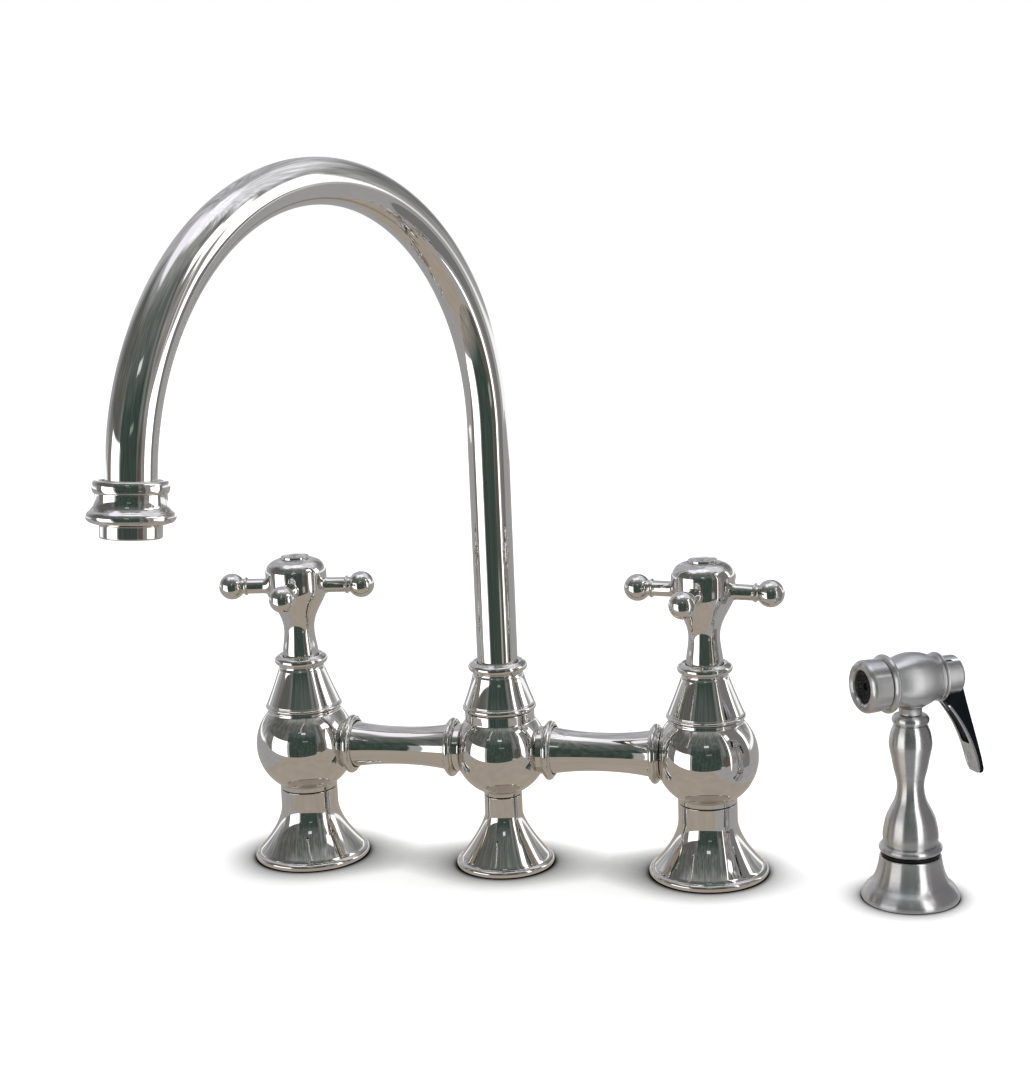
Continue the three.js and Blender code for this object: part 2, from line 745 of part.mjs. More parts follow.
function sprayHolder(spray) {
  const socket = clearing(LINER + GAP, LARGE);
  const holder = turned([
    [HOLDER_RIM, 0],
    ...flare([HOLDER_RIM - 0.4, 2.2], [HOLDER_MOUTH, HOLDER_TOP - 2], 2.1, 5),
    [HOLDER_MOUTH, HOLDER_TOP],
    [socket, HOLDER_TOP],
    [socket, HOLDER_FLOOR],
    [HOLDER_BORE, HOLDER_FLOOR],
    [HOLDER_BORE, -HOLDER_DROP],
    [HOLDER_SHANK, -HOLDER_DROP],
    [HOLDER_SHANK, HOLDER_FLOOR / 2],
    [HOLDER_RIM - FOOT_SEAT, HOLDER_FLOOR / 2],
    [HOLDER_RIM - FOOT_SEAT, 0],
  ]);
  piece("spray_holder", holder, brushedNickel, spray);
  const bore = clearing(LINER - LINER_WALL, MEDIUM);
  const liner = turned(
    [
      [LINER, HOLDER_FLOOR + GAP],
      [LINER, HOLDER_TOP + GAP],
      [HOLDER_MOUTH - 0.9, HOLDER_TOP + GAP],
      [HOLDER_MOUTH - 0.9, linerTop],
      [bore, linerTop],
      [bore, HOLDER_FLOOR + GAP],
    ],
    MEDIUM,
  );
  piece("spray_holder_liner", liner, blackPlastic, spray);
  const shankBore = HOLDER_SHANK + GAP;
  const washerBottom = -WORKTOP - WASHER_THICKNESS;
  const washer = pipe(HOLDER_RIM, shankBore, washerBottom, -WORKTOP, MEDIUM);
  piece("spray_holder_washer", washer, rubber, spray);
  const nutTop = washerBottom - GAP;
  const nut = nutShape(shankBore, 2.8 * HOLDER_SHANK, nutTop - NUT_HEIGHT, NUT_HEIGHT);
  piece("spray_holder_nut", nut, brass, spray);
}

function wandHandle(wand) {
  const spigot = LINER - LINER_WALL - GAP;
  const ringTop = wandSeat + WAND_RING_HEIGHT;
  const gripLength = WAND_TOP - UPPER_RING_HEIGHT - ringTop;
  const grip = new THREE.SplineCurve(
    GRIP.map(([radius, share]) => new THREE.Vector2(radius, ringTop + share * gripLength)),
  );
  const handle = turned(
    [
      [spigot, WAND_BOTTOM],
      [spigot, wandSeat],
      ...bead(WAND_RING - 2, WAND_RING, wandSeat + WAND_RING_HEIGHT / 2, WAND_RING_HEIGHT / 2),
      ...grip.getPoints(9).map((point) => [point.x, point.y]),
      ...bead(UPPER_RING - 2, UPPER_RING, WAND_TOP - UPPER_RING_HEIGHT / 2, UPPER_RING_HEIGHT / 2),
      [WAND_BORE, WAND_TOP],
      [WAND_BORE, WAND_BOTTOM],
    ],
    MEDIUM,
  );
  piece("spray_handle", handle, brushedNickel, wand);
  const inletTop = WAND_BOTTOM - GAP;
  const inlet = pipe(INLET_RADIUS, WAND_BORE, inletTop - INLET_LENGTH, inletTop);
  piece("spray_inlet", inlet, brass, wand);
}

// The spray head points along its own +X, with its axis at z = 0.
function sprayHead(head) {
  const ringFront = BARREL_FRONT + 4;
  const ringRear = -BARREL_REAR - 3.2;
  const chamber = NOSE_MOUTH - 1.5;
  const barrel = turned(
    [
      [0, ringRear],
      ...bead(HEAD_REAR_RING - 1.6, HEAD_REAR_RING, (ringRear - BARREL_REAR) / 2, 1.6),
      [HEAD_BARREL - 0.9, -7],
      [HEAD_BARREL, 0],
      [HEAD_BARREL - 0.4, 6],
      ...bead(HEAD_RING - 2.2, HEAD_RING, (BARREL_FRONT + ringFront) / 2, 2),
      [0, ringFront],
    ],
    LARGE,
  );
  const neckBottom = WAND_TOP + GAP - HEAD_HEIGHT;
  const barrelSolid = built(
    [alongX(barrel), rod(HEAD_NECK, neckBottom, 0)],
    [
      alongX(drill(chamber, -4, ringFront + 1)),
      alongX(drill(PLUNGER + GAP, ringRear - 1, 0, FINE)),
      drill(WAND_BORE, neckBottom - 1, 0),
    ],
  );
  piece("spray_head", barrelSolid, brushedNickel, head);

  const mouth = clearing(NOSE_MOUTH, LARGE);
  const nose = turned([
    [NOSE, ringFront + GAP],
    [NOSE, NOSE_TIP - 2.4],
    [NOSE - 0.7, NOSE_TIP - 0.7],
    [NOSE - 2.2, NOSE_TIP],
    [mouth + 0.6, NOSE_TIP],
    [mouth, NOSE_TIP - 0.8],
    [mouth, ringFront + GAP],
  ]);
  piece("spray_nose", alongX(nose), brushedNickel, head);
  const faceBack = NOSE_TIP - 4.5;
  const faceFront = NOSE_TIP - 1.5;
  const jets = Array.from({ length: 8 }, (_, i) =>
    drill(SPRAY_HOLE, faceBack - 1, faceFront + 1, 5)
      .translate(NOSE_MOUTH * 0.6, 0, 0)
      .rotateZ((i * Math.PI) / 4),
  );
  const face = built(
    [rod(NOSE_MOUTH - GAP, faceBack, faceFront)],
    [...jets, drill(SPRAY_HOLE, faceBack - 1, faceFront + 1, 5)],
  );
  piece("spray_face", alongX(face), blackPlastic, head);

  const capFront = ringRear - GAP;
  const cap = turned(
    [[0, -CAP_END], [CAP - 2, -CAP_END], [CAP, -CAP_END + 1.6], [CAP, capFront], [0, capFront]],
    MEDIUM,
  );
  const slotWidth = LEVER_WIDTH + LEVER_SLOT;
  const slotFloor = PIN_BACK - LEVER_ROOM;
  const slotDepth = CAP_END + 1 - slotFloor;
  const slot = new THREE.BoxGeometry(slotDepth, slotWidth, 2 * CAP).translate(
    -slotFloor - slotDepth / 2,
    0,
    PIN_RISE + LEVER_ROOM - CAP,
  );
  const pinHole = drill(PIN_RADIUS + GAP, -CAP - 1, CAP + 1, FINE)
    .rotateX(Math.PI / 2)
    .translate(-PIN_BACK, 0, PIN_RISE);
  const plungerHole = alongX(drill(PLUNGER + GAP, -CAP_END, capFront + 1, FINE));
  piece("spray_cap", built([alongX(cap)], [slot, pinHole, plungerHole]), brushedNickel, head);
  const pinReach = Math.sqrt(CAP ** 2 - (PIN_RISE + PIN_RADIUS) ** 2);
  const pin = rod(PIN_RADIUS, -pinReach, pinReach, FINE).rotateX(Math.PI / 2);
  piece("spray_lever_pin", pin.translate(-PIN_BACK, 0, PIN_RISE), steel, head);
}

// Side outline of the lever in [behind the head axis, height], and the strip that faces it.
function sprayLever(head) {
  const inset = FACING + GAP;
  const [hookX, hookZ] = LEVER_HOOK;
  const [sweepX, sweepZ] = LEVER_SWEEP;
  const [tipX, tipZ] = LEVER_TIP;
  const outline = new THREE.Shape()
    .moveTo(-LEVER_FACE, PIN_RISE + 2)
    .lineTo(-LEVER_FACE, -LEVER_FACE_END)
    .lineTo(hookX - inset, hookZ)
    .quadraticCurveTo(sweepX - inset, sweepZ, tipX - inset, tipZ)
    .lineTo(tipX - LEVER_NOSE * 0.7, tipZ - 1)
    .lineTo(tipX - LEVER_NOSE, tipZ - 0.2)
    .lineTo(-CAP_END - 0.1, -0.8)
    .lineTo(-PIN_BACK - 3, PIN_RISE)
    .lineTo(-PIN_BACK - 1.8, PIN_RISE + 2.6);
  const extruded = (shape, width) =>
    new THREE.ExtrudeGeometry(shape, { depth: width, bevelEnabled: false, curveSegments: 7 })
      .translate(0, 0, -width / 2)
      .rotateX(Math.PI / 2);
  const pinHole = drill(PIN_RADIUS + GAP, -CAP, CAP, FINE)
    .rotateX(Math.PI / 2)
    .translate(-PIN_BACK, 0, PIN_RISE);
  piece("spray_lever", built([extruded(outline, LEVER_WIDTH)], [pinHole]), blackPlastic, head);

  const strip = new THREE.Shape()
    .moveTo(hookX - FACING, hookZ - 2 * GAP)
    .lineTo(hookX, hookZ - 2 * GAP)
    .quadraticCurveTo(sweepX, sweepZ, tipX, tipZ)
    .lineTo(tipX - FACING, tipZ)
    .quadraticCurveTo(sweepX - FACING, sweepZ, hookX - FACING, hookZ - 2 * GAP);
  const windowTop = hookZ - LEVER_ROOM;
  const windowHeight = windowTop - tipZ - PAD_HEIGHT;
  const window = new THREE.BoxGeometry(4 * CAP, LEVER_WIDTH * 0.55, windowHeight);
  window.translate(tipX, 0, windowTop - windowHeight / 2);
  piece("spray_lever_facing", built([extruded(strip, LEVER_WIDTH)], [window]), chrome, head);

  const tipFace = GAP - LEVER_FACE;
  const plunger = turned(
    [
      [0, tipFace],
      [PLUNGER * 0.6, tipFace],
      [PLUNGER, tipFace + 1.2],
      [PLUNGER, -3.4],
      [NOSE_MOUTH - 3, -3.4],
      [NOSE_MOUTH - 3, -0.6],
      [0, -0.6],
    ],
    FINE,
  );
  piece("spray_plunger", alongX(plunger), brass, head);
}

// ---- Assembly ----

valvePost("left", -POST_SPACING, 0, LEFT_TURN);
valvePost("right", POST_SPACING, 180, RIGHT_TURN);
centrePost();
spout();
bridgeArm("left", -1);
bridgeArm("right", 1);

const spray = groupAt(faucet, SPRAY_X, SPRAY_Y, 0);
sprayHolder(spray);
wandHandle(spray);
const head = groupAt(spray, 0, 0, HEAD_HEIGHT, HEAD_TURN);
sprayHead(head);
sprayLever(head);

export default faucet;
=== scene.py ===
"""Looks of a bridge kitchen faucet with a side spray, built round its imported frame.

+Z is up and the user stands at -Y. Sizes are in millimetres until a piece is finished.
"""

import math

import bmesh
import bpy
from mathutils import Matrix, Vector


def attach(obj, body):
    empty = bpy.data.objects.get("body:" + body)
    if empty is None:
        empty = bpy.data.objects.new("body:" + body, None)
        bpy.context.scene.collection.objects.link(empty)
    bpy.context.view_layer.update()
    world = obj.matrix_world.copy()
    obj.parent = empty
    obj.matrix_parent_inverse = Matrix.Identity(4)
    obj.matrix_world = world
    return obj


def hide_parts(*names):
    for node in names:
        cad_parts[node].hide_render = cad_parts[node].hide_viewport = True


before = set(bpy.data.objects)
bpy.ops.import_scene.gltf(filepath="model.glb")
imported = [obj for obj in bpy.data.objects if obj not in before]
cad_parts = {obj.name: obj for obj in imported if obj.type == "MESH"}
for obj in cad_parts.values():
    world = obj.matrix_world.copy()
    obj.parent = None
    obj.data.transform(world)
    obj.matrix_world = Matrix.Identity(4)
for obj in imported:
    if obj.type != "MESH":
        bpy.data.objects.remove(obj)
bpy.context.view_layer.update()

MM = 0.001
SIDES = 96  # around large turned pieces
FINE_SIDES = 48
MERGE = 0.002 * MM
SMOOTH_ANGLE = 32
SHARPEST = 28  # an outline's corner is rounded from this turn on

# ---- Driving dimensions in millimetres and degrees, close to the part's own ----

GAP = 0.3  # between pieces that fit into each other
POST_SPACING = 101.6
BRIDGE_HEIGHT = 58.7
WORKTOP = 30
SHANK_DROP = 62
WASHER_THICKNESS = 2.5
NUT_HEIGHT = 8
FOOT_TOP = BRIDGE_HEIGHT - 23
BODY_BOTTOM = FOOT_TOP + GAP
FOOT_SEAT = 4.4
FOOT_WALL = 2.4

SIDE = {
    "foot_rim": 28.9,
    "foot_neck": 14.3,
    "neck_length": 8.7,
    "foot_power": 1.75,
    "ball": 24.9,
    "collar": 18.0,
    "collar_height": 1.6,
    "shank": 10.3,
    "shank_wall": 3.3,
    "socket": 10,
    "bonnet_lip": 19.1,
    "lip_height": 1.9,
    "shoulder": 18.4,
    "throat": 11.5,
    "bonnet_height": 27,
    "bonnet_power": 1.1,
    "cavity": 14.9,
    "cavity_height": 7.5,
    "bead": 13.2,
}
CENTRE = {
    "foot_rim": 24.3,
    "foot_neck": 9.35,
    "neck_length": 9.7,
    "foot_power": 1.36,
    "ball": 22.9,
    "collar": 17.0,
    "collar_height": 4.8,
    "shank": 7,
    "shank_wall": 2.6,
    "socket": 8,
    "bonnet_lip": 18.0,
    "lip_height": 3.0,
    "shoulder": 17.3,
    "throat": 12.6,
    "bonnet_height": 24.5,
    "bonnet_power": 1.2,
    "cavity": 13,
    "cavity_height": 10.4,
    "bead": 14.4,
}
BEAD_TUBE = 2.4
WASHER_MARGIN = 13
THREAD_PITCH = 1.8
THREAD_DEPTH = 0.7

# Bridge
NECK = 11.7
TUBE_WAIST = 9.4
UNION_OFFSET = 24.7
UNION_RADIUS = 14.6
UNION_WIDTH = 4.4
BRIDGE_BORE = 7
NECK_ROOT = 15  # a neck starts inside the ball, this far from its axis
BORE_START = 4

# Valves and handles
CARTRIDGE = 10.3
CARTRIDGE_FLOOR = BRIDGE_HEIGHT - 6
WATERWAY = 6
HANDLE_DIP = 1.9
STALK = 8.8
STALK_FOOT = 8.3
STEM_BORE = 4.5
HUB_RADIUS = 15.1
HUB_BOTTOM = 34.1  # above the handle's end
HUB_EDGE = HUB_BOTTOM + 10.6
HUB_TOP = HUB_EDGE + 6.7
ARM_HEIGHT = HUB_BOTTOM + 2.6
ARM_RADIUS = 3.75
ARM_BALL = 6.5
ARM_REACH = 32.6
BUTTON_RADIUS = 6.9
BUTTON_BORE = 6.2
LEFT_TURN = 8.3
RIGHT_TURN = -8.6

# Spout and aerator
SPOUT_WATERWAY = 8.3
SEAL_RISE = 8  # above the spout's lower end
SEAL_HALF = 1.6
SEAL_DEPTH = 3
TUBE = 9.85
TUBE_WALL = 1.6
RISER_TOP = BRIDGE_HEIGHT + 159.1
BEND_RADIUS = 117.6
OUTLET_DROP = 3.8
OUTLET_LEAN = 6  # degrees by which the bend stops short of a half turn
SPOUT_INSERT = 17.2
SPOUT_TURN = 19.9
AERATOR_TOP = RISER_TOP + 10
AERATOR_BOTTOM = AERATOR_TOP - 21.7
AERATOR_LIP = 11.8
AERATOR_SOCKET = 11.2
AERATOR_WAIST = 13.5

# Side spray: its holder, the wand and its head, and the lever
SPRAY_X = 197.9
SPRAY_Y = -18.8
HOLDER_RIM = 22.6
HOLDER_TOP = 20.5
HOLDER_MOUTH = 14.15
HOLDER_SHANK = 13.5
HOLDER_BORE = 11
HOLDER_DROP = 55
LINER = 11.9
LINER_TOP = HOLDER_TOP + GAP + 1.2
WAND_SEAT = LINER_TOP + GAP
WAND_RING = 14.5
WAND_RING_TOP = WAND_SEAT + 3.8
WAND_BORE = 3.5
HEAD_HEIGHT = 103.3
WAND_TOP = HEAD_HEIGHT - 15.9
UPPER_RING = 8.5
HEAD_TURN = 214
HEAD_NECK = 5.2
RING_FRONT = 15.3
RING_REAR = -14.7
NOSE_TIP = 25.8
NOSE_MOUTH = 7.5
CAP = 9.1
CAP_END = 23.9
PIN_BACK = 19.8
PIN_RISE = 4.2
PIN_RADIUS = 1.2
PLUNGER = 2
PLUNGER_HEAD = 4.5
PLUNGER_REACH = 18.2
LEVER_WIDTH = 8.6
LEVER_FRONT = ((-18.5, -12.8), (-30.9, -27.4), (-34.9, -47.4))  # hook, sweep and tip
LEVER_STEPS = 22  # points down its front
LEVER_WIDTHS = (  # height, and the width there as a share of LEVER_WIDTH
    (-10, 1), (-18, 1.08), (-32, 1.24), (-43, 1.28), (-46, 1.1), (-48, 0.75), (-49, 0.45),
)
FACING = 0.9  # thickness of the plated strip
FACING_PAD = slice(15, 22)  # the points of the front that its sunk pad spans
FACING_DENT = 18  # the point of the front where its dent lies


# ---- Outlines ----


def arc(radius, height, start, end, steps, out=0):
    """Points of a round stretch about [out, height], between angles above the horizontal."""
    points = []
    for i in range(steps + 1):
        angle = math.radians(start + (end - start) * i / steps)
        points.append((out + radius * math.cos(angle), height + radius * math.sin(angle)))
    return points


def bead(inner, outer, middle, half, steps=14):
    """A half-round bead from the inner radius out to the outer one, listed upwards."""
    points = []
    for i in range(steps + 1):
        angle = math.pi * (i / steps - 0.5)
        points.append((inner + (outer - inner) * math.cos(angle), middle + half * math.sin(angle)))
    return points


def flare(wide, narrow, power, steps=26):
    """A trumpet curve from a wide point up to a narrow one, listed upwards."""
    points = []
    for i in range(steps + 1):
        left = 1 - i / steps
        radius = narrow[0] + (wide[0] - narrow[0]) * left**power
        points.append((radius, narrow[1] - (narrow[1] - wide[1]) * left))
    return points


def smooth(points, steps=6):
    """A smooth curve through the points."""
    ends = [points[0], *points, points[-1]]
    curve = []
    for a, b, c, d in zip(ends, ends[1:], ends[2:], ends[3:]):
        for i in range(steps):
            t = i / steps
            curve.append(
                tuple(
                    0.5 * (2 * q + (r - p) * t + (2 * p - 5 * q + 4 * r - s) * t**2
                           + (3 * q - p - 3 * r + s) * t**3)
                    for p, q, r, s in zip(a, b, c, d)
                )
            )
    return curve + [points[-1]]


def softened(outline, radius, closed=False, steps=4):
    """The outline with its corners rounded, and points beside each that keep the flats flat."""
    corners = [Vector(point) for point in outline]
    count = len(corners)
    result = []
    for i, corner in enumerate(corners):
        if not closed and i in (0, count - 1):
            result.append(tuple(corner))
            continue
        before = corners[i - 1] - corner
        after = corners[(i + 1) % count] - corner
        turn = math.degrees(math.pi - before.angle(after, math.pi))
        if turn < SHARPEST:
            result.append(tuple(corner))
            continue
        reach = min(radius, 0.4 * before.length, 0.4 * after.length)
        start = corner + before.normalized() * reach
        end = corner + after.normalized() * reach
        if before.length > 3 * reach:
            result.append(tuple(corner + before.normalized() * reach * 1.5))
        for step in range(steps + 1):
            t = step / steps
            point = start.lerp(corner, t).lerp(corner.lerp(end, t), t)
            result.append(tuple(point))
        if after.length > 3 * reach:
            result.append(tuple(corner + after.normalized() * reach * 1.5))
    return result


def thread(radius, bottom, top):
    """The outside of a thread, listed upwards, with a plain lead-in at both ends."""
    turns = int((top - bottom - 2) / THREAD_PITCH)
    points = [(radius - THREAD_DEPTH, bottom)]
    for i in range(turns):
        low = bottom + 1 + i * THREAD_PITCH
        points.append((radius - THREAD_DEPTH, low))
        points.append((radius, low + THREAD_PITCH * 0.4))
        points.append((radius, low + THREAD_PITCH * 0.55))
    points.append((radius - THREAD_DEPTH, bottom + 1 + turns * THREAD_PITCH))
    points.append((radius - THREAD_DEPTH, top))
    return points


# ---- Making pieces ----


def deselect():
    bpy.ops.object.select_all(action="DESELECT")


def pick(piece):
    deselect()
    piece.select_set(True)
    bpy.context.view_layer.objects.active = piece


def edit(piece):
    pick(piece)
    bpy.ops.object.mode_set(mode="EDIT")
    bpy.ops.mesh.select_all(action="SELECT")


def close_up():
    """Merges doubles, turns the faces outwards and leaves edit mode."""
    bpy.ops.mesh.select_all(action="SELECT")
    bpy.ops.mesh.remove_doubles(threshold=MERGE)
    bpy.ops.mesh.normals_make_consistent(inside=False)
    bpy.ops.object.mode_set(mode="OBJECT")


def chain(name, points, closed=False):
    """Starts a piece as a chain of points in the XZ plane, and stays in edit mode."""
    deselect()
    bpy.ops.mesh.primitive_plane_add(size=MM)
    piece = bpy.context.object
    piece.name = name
    piece.data.name = name
    bpy.ops.object.mode_set(mode="EDIT")
    bpy.ops.mesh.select_all(action="SELECT")
    bpy.ops.mesh.merge(type="CENTER")
    places = [Vector((across, 0, up)) * MM for across, up in points]
    if closed:
        places.append(places[0])
    bpy.ops.transform.translate(value=places[0])
    for here, there in zip(places, places[1:]):
        bpy.ops.mesh.extrude_vertices_move(TRANSFORM_OT_translate={"value": there - here})
    bpy.ops.mesh.select_all(action="SELECT")
    return piece


def apply(piece, kind, **settings):
    """Adds a modifier with its settings and applies it."""
    pick(piece)
    modifier = piece.modifiers.new(kind.lower(), kind)
    for key, value in settings.items():
        setattr(modifier, key, value)
    bpy.ops.object.modifier_apply(modifier=modifier.name)


def bevel(piece, width, segments=2, angle=40):
    """Rounds the edges that turn by more than an angle."""
    apply(piece, "BEVEL", width=width * MM, segments=segments, limit_method="ANGLE",
          angle_limit=math.radians(angle))


def shaded(piece):
    pick(piece)
    bpy.ops.object.shade_smooth_by_angle(angle=math.radians(SMOOTH_ANGLE))
    return piece


def extrude(x, y, z):
    """Draws out what is selected by a distance in metres."""
    bpy.ops.mesh.extrude_region_move(TRANSFORM_OT_translate={"value": (x, y, z)})


def spin(degrees, steps, centre=(0, 0, 0), axis=(0, 0, 1)):
    """Sweeps the selected edges anticlockwise about an axis; Blender's own angle runs clockwise."""
    bpy.ops.mesh.spin(
        steps=steps, angle=-math.radians(degrees), center=Vector(centre) * MM, axis=axis
    )


def turned(name, outline, soft=0.35, closed=False, sides=SIDES):
    """A piece turned about Z from its outline as [radius, height]."""
    piece = chain(name, softened(outline, soft, closed), closed)
    spin(360, sides)
    close_up()
    return shaded(piece)


def placed(piece, matrix):
    """Moves a finished shape, and leaves its object at the origin."""
    piece.matrix_world = matrix
    pick(piece)
    bpy.ops.object.transform_apply(location=True, rotation=True, scale=True)
    return piece


def settled():
    """The primitive that was just added, with its place put into its mesh."""
    piece = bpy.context.object
    return placed(piece, piece.matrix_world.copy())


def at(x=0.0, y=0.0, z=0.0, turn=0.0):
    """The place of a piece, in millimetres, and its turn about Z in degrees."""
    return Matrix.Translation(Vector((x, y, z)) * MM) @ Matrix.Rotation(math.radians(turn), 4, "Z")


LYING = Matrix.Rotation(math.pi / 2, 4, "Y")  # lays a Z piece along X, its top at the far end


def combine(piece, other, operation):
    apply(piece, "BOOLEAN", object=other, operation=operation, solver="EXACT")
    bpy.data.objects.remove(other)


def copied(piece, matrix):
    """A copy with its own mesh, moved to its place."""
    copy = piece.copy()
    copy.data = piece.data.copy()
    bpy.context.scene.collection.objects.link(copy)
    return placed(copy, matrix)


def drilled(piece, radius, start, end, places, sides=FINE_SIDES):
    """Cuts equal round holes along the places' Z, between two heights."""
    tool = turned("drill", [(0, start), (radius, start), (radius, end), (0, end)], 0, False, sides)
    tools = [copied(tool, place) for place in places]
    bpy.data.objects.remove(tool)
    pick(tools[0])
    for tool in tools:
        tool.select_set(True)
    bpy.ops.object.join()
    combine(piece, tools[0], "DIFFERENCE")


def hole_rings(*rings):
    """Places of holes in rings about Z, each given as its radius and count."""
    return [
        at(turn=360 * i / count) @ at(radius) for radius, count in rings for i in range(count)
    ]


def prism(name, outline, width):
    """A flat outline in the XZ plane, given a width along Y."""
    piece = chain(name, outline, True)
    bpy.ops.mesh.remove_doubles(threshold=MERGE)
    bpy.ops.mesh.edge_face_add()
    extrude(0, width * MM, 0)
    bpy.ops.mesh.select_all(action="SELECT")
    bpy.ops.transform.translate(value=(0, -width * MM / 2, 0))
    close_up()
    return piece


def block(size, centre):
    """A plain box to cut with."""
    deselect()
    bpy.ops.mesh.primitive_cube_add(size=MM, location=Vector(centre) * MM, scale=size)
    return settled()


# ---- Materials ----

PRINCIPLED = "ShaderNodeBsdfPrincipled"
BRUSHED_LINES = 9000.0


def srgb(red, green, blue):
    """A colour written 0 to 255, as the linear value that a shader takes."""
    def linear(value):
        share = value / 255
        return share / 12.92 if share <= 0.04045 else ((share + 0.055) / 1.055) ** 2.4

    return (linear(red), linear(green), linear(blue), 1)


def fill(tree, made, inputs):
    """Sets a node's inputs to numbers or joins them to other nodes' outputs."""
    for socket, value in inputs.items():
        if isinstance(value, bpy.types.NodeSocket):
            tree.links.new(value, made.inputs[socket])
        else:
            made.inputs[socket].default_value = value


def add(tree, kind, inputs, **settings):
    """A node with its settings and inputs."""
    made = tree.nodes.new(kind)
    for key, value in settings.items():
        setattr(made, key, value)
    fill(tree, made, inputs)
    return made


def maths(tree, operation, *values):
    """A number made from others."""
    return add(tree, "ShaderNodeMath", dict(enumerate(values)), operation=operation).outputs[0]


def vectors(tree, operation, *values):
    """A vector made from others."""
    made = add(tree, "ShaderNodeVectorMath", dict(enumerate(values)), operation=operation)
    return made.outputs[0]


def scaled(tree, vector, factor):
    made = add(tree, "ShaderNodeVectorMath", {0: vector, "Scale": factor}, operation="SCALE")
    return made.outputs[0]


def ranged(tree, value, start, end, least=0.0, most=1.0):
    """A number carried from one range into another, and held inside it."""
    limits = {"Value": value, "From Min": start, "From Max": end, "To Min": least, "To Max": most}
    return add(tree, "ShaderNodeMapRange", limits).outputs[0]


def noise(tree, vector, scale, detail, rough=0.5):
    """A cloudy value between 0 and 1."""
    inputs = {"Vector": vector, "Scale": scale, "Detail": detail, "Roughness": rough}
    return add(tree, "ShaderNodeTexNoise", inputs).outputs["Fac"]


def tinted(tree, value, dark, light):
    """A colour between two, by a value that changes over the surface."""
    mixed = add(tree, "ShaderNodeMix", {0: value, 6: dark, 7: light}, data_type="RGBA")
    return mixed.outputs[2]


def new_group(name, inputs, outputs):
    """A shader group with named number or vector inputs, and number outputs."""
    tree = bpy.data.node_groups.new(name, "ShaderNodeTree")
    for label, value in inputs.items():
        kind = "NodeSocketVector" if value is None else "NodeSocketFloat"
        socket = tree.interface.new_socket(label, in_out="INPUT", socket_type=kind)
        if value is not None:
            socket.default_value = value
    for label in outputs:
        tree.interface.new_socket(label, in_out="OUTPUT", socket_type="NodeSocketFloat")
    start = tree.nodes.new("NodeGroupInput")
    end = tree.nodes.new("NodeGroupOutput")
    return tree, start.outputs, end


def place_group(tree, group, **inputs):
    made = tree.nodes.new("ShaderNodeGroup")
    made.node_tree = group
    fill(tree, made, inputs)
    return made.outputs


def marks_group():
    """Faint smudges and hairline scratches: a roughness between two values, and a height."""
    inputs = {"Vector": None, "Scale": 60.0, "Least": 0.03, "Most": 0.08}
    tree, given, end = new_group("handling_marks", inputs, ["Roughness", "Height"])
    smudge = noise(tree, given["Vector"], given["Scale"], 5.0)
    stretched = add(tree, "ShaderNodeMapping",
                    {"Vector": given["Vector"], "Rotation": (0.5, 0.3, 0.7),
                     "Scale": (0.08, 1.0, 1.0)})
    fine = maths(tree, "MULTIPLY", given["Scale"], 22.0)
    scratch = noise(tree, stretched.outputs[0], fine, 2.0)
    marked = maths(tree, "MAXIMUM", ranged(tree, smudge, 0.42, 0.7),
                   ranged(tree, scratch, 0.66, 0.74))
    rough = ranged(tree, marked, 0.0, 1.0, given["Least"], given["Most"])
    fill(tree, end, {"Roughness": rough, "Height": smudge})
    return tree


def brushing_group():
    """Fine rings left by brushing a piece as it turns about its own Z."""
    inputs = {"Vector": None, "Lines": BRUSHED_LINES}
    tree, given, end = new_group("brushed_rings", inputs, ["Line", "Band"])
    parts = add(tree, "ShaderNodeSeparateXYZ", {"Vector": given["Vector"]}).outputs
    spread = add(tree, "ShaderNodeCombineXYZ",
                 {"X": maths(tree, "MULTIPLY", parts["X"], 90.0),
                  "Y": maths(tree, "MULTIPLY", parts["Y"], 90.0),
                  "Z": maths(tree, "MULTIPLY", parts["Z"], given["Lines"])}).outputs[0]
    coarse = vectors(tree, "MULTIPLY", spread, (0.3, 0.3, 0.06))
    fill(tree, end, {"Line": noise(tree, spread, 1.0, 3.0, 0.6),
                     "Band": noise(tree, coarse, 1.0, 2.0)})
    return tree


def soft_box_group():
    """A mask that is 1 inside a box and falls off between its inner and outer half sizes."""
    inputs = {"Vector": None, "Middle": None, "Inner": None, "Outer": None}
    tree, given, end = new_group("soft_box", inputs, ["Mask"])
    away = vectors(tree, "ABSOLUTE", vectors(tree, "SUBTRACT", given["Vector"], given["Middle"]))
    inside = add(tree, "ShaderNodeMapRange",
                 {6: away, 7: given["Inner"], 8: given["Outer"], 9: (1, 1, 1), 10: (0, 0, 0)},
                 data_type="FLOAT_VECTOR", interpolation_type="SMOOTHSTEP")
    parts = add(tree, "ShaderNodeSeparateXYZ", {0: inside.outputs["Vector"]}).outputs
    fill(tree, end, {"Mask": maths(tree, "MULTIPLY", parts["X"], parts["Y"])})
    return tree


MARKS = marks_group()
BRUSHING = brushing_group()
SOFT_BOX = soft_box_group()


def new_material(name, kind):
    """A material with one shader, and its Object coordinates."""
    material = bpy.data.materials.new(name)
    material.use_nodes = True
    tree = material.node_tree
    tree.nodes.clear()
    shader = tree.nodes.new(kind)
    add(tree, "ShaderNodeOutputMaterial", {"Surface": shader.outputs[0]})
    place = tree.nodes.new("ShaderNodeTexCoord")
    return material, tree, shader, place.outputs["Object"]


def raised(tree, height, depth, strength=1.0):
    """A normal bumped by a height, up to a depth in millimetres."""
    bump = {"Height": height, "Strength": strength, "Distance": depth * MM}
    return add(tree, "ShaderNodeBump", bump).outputs[0]


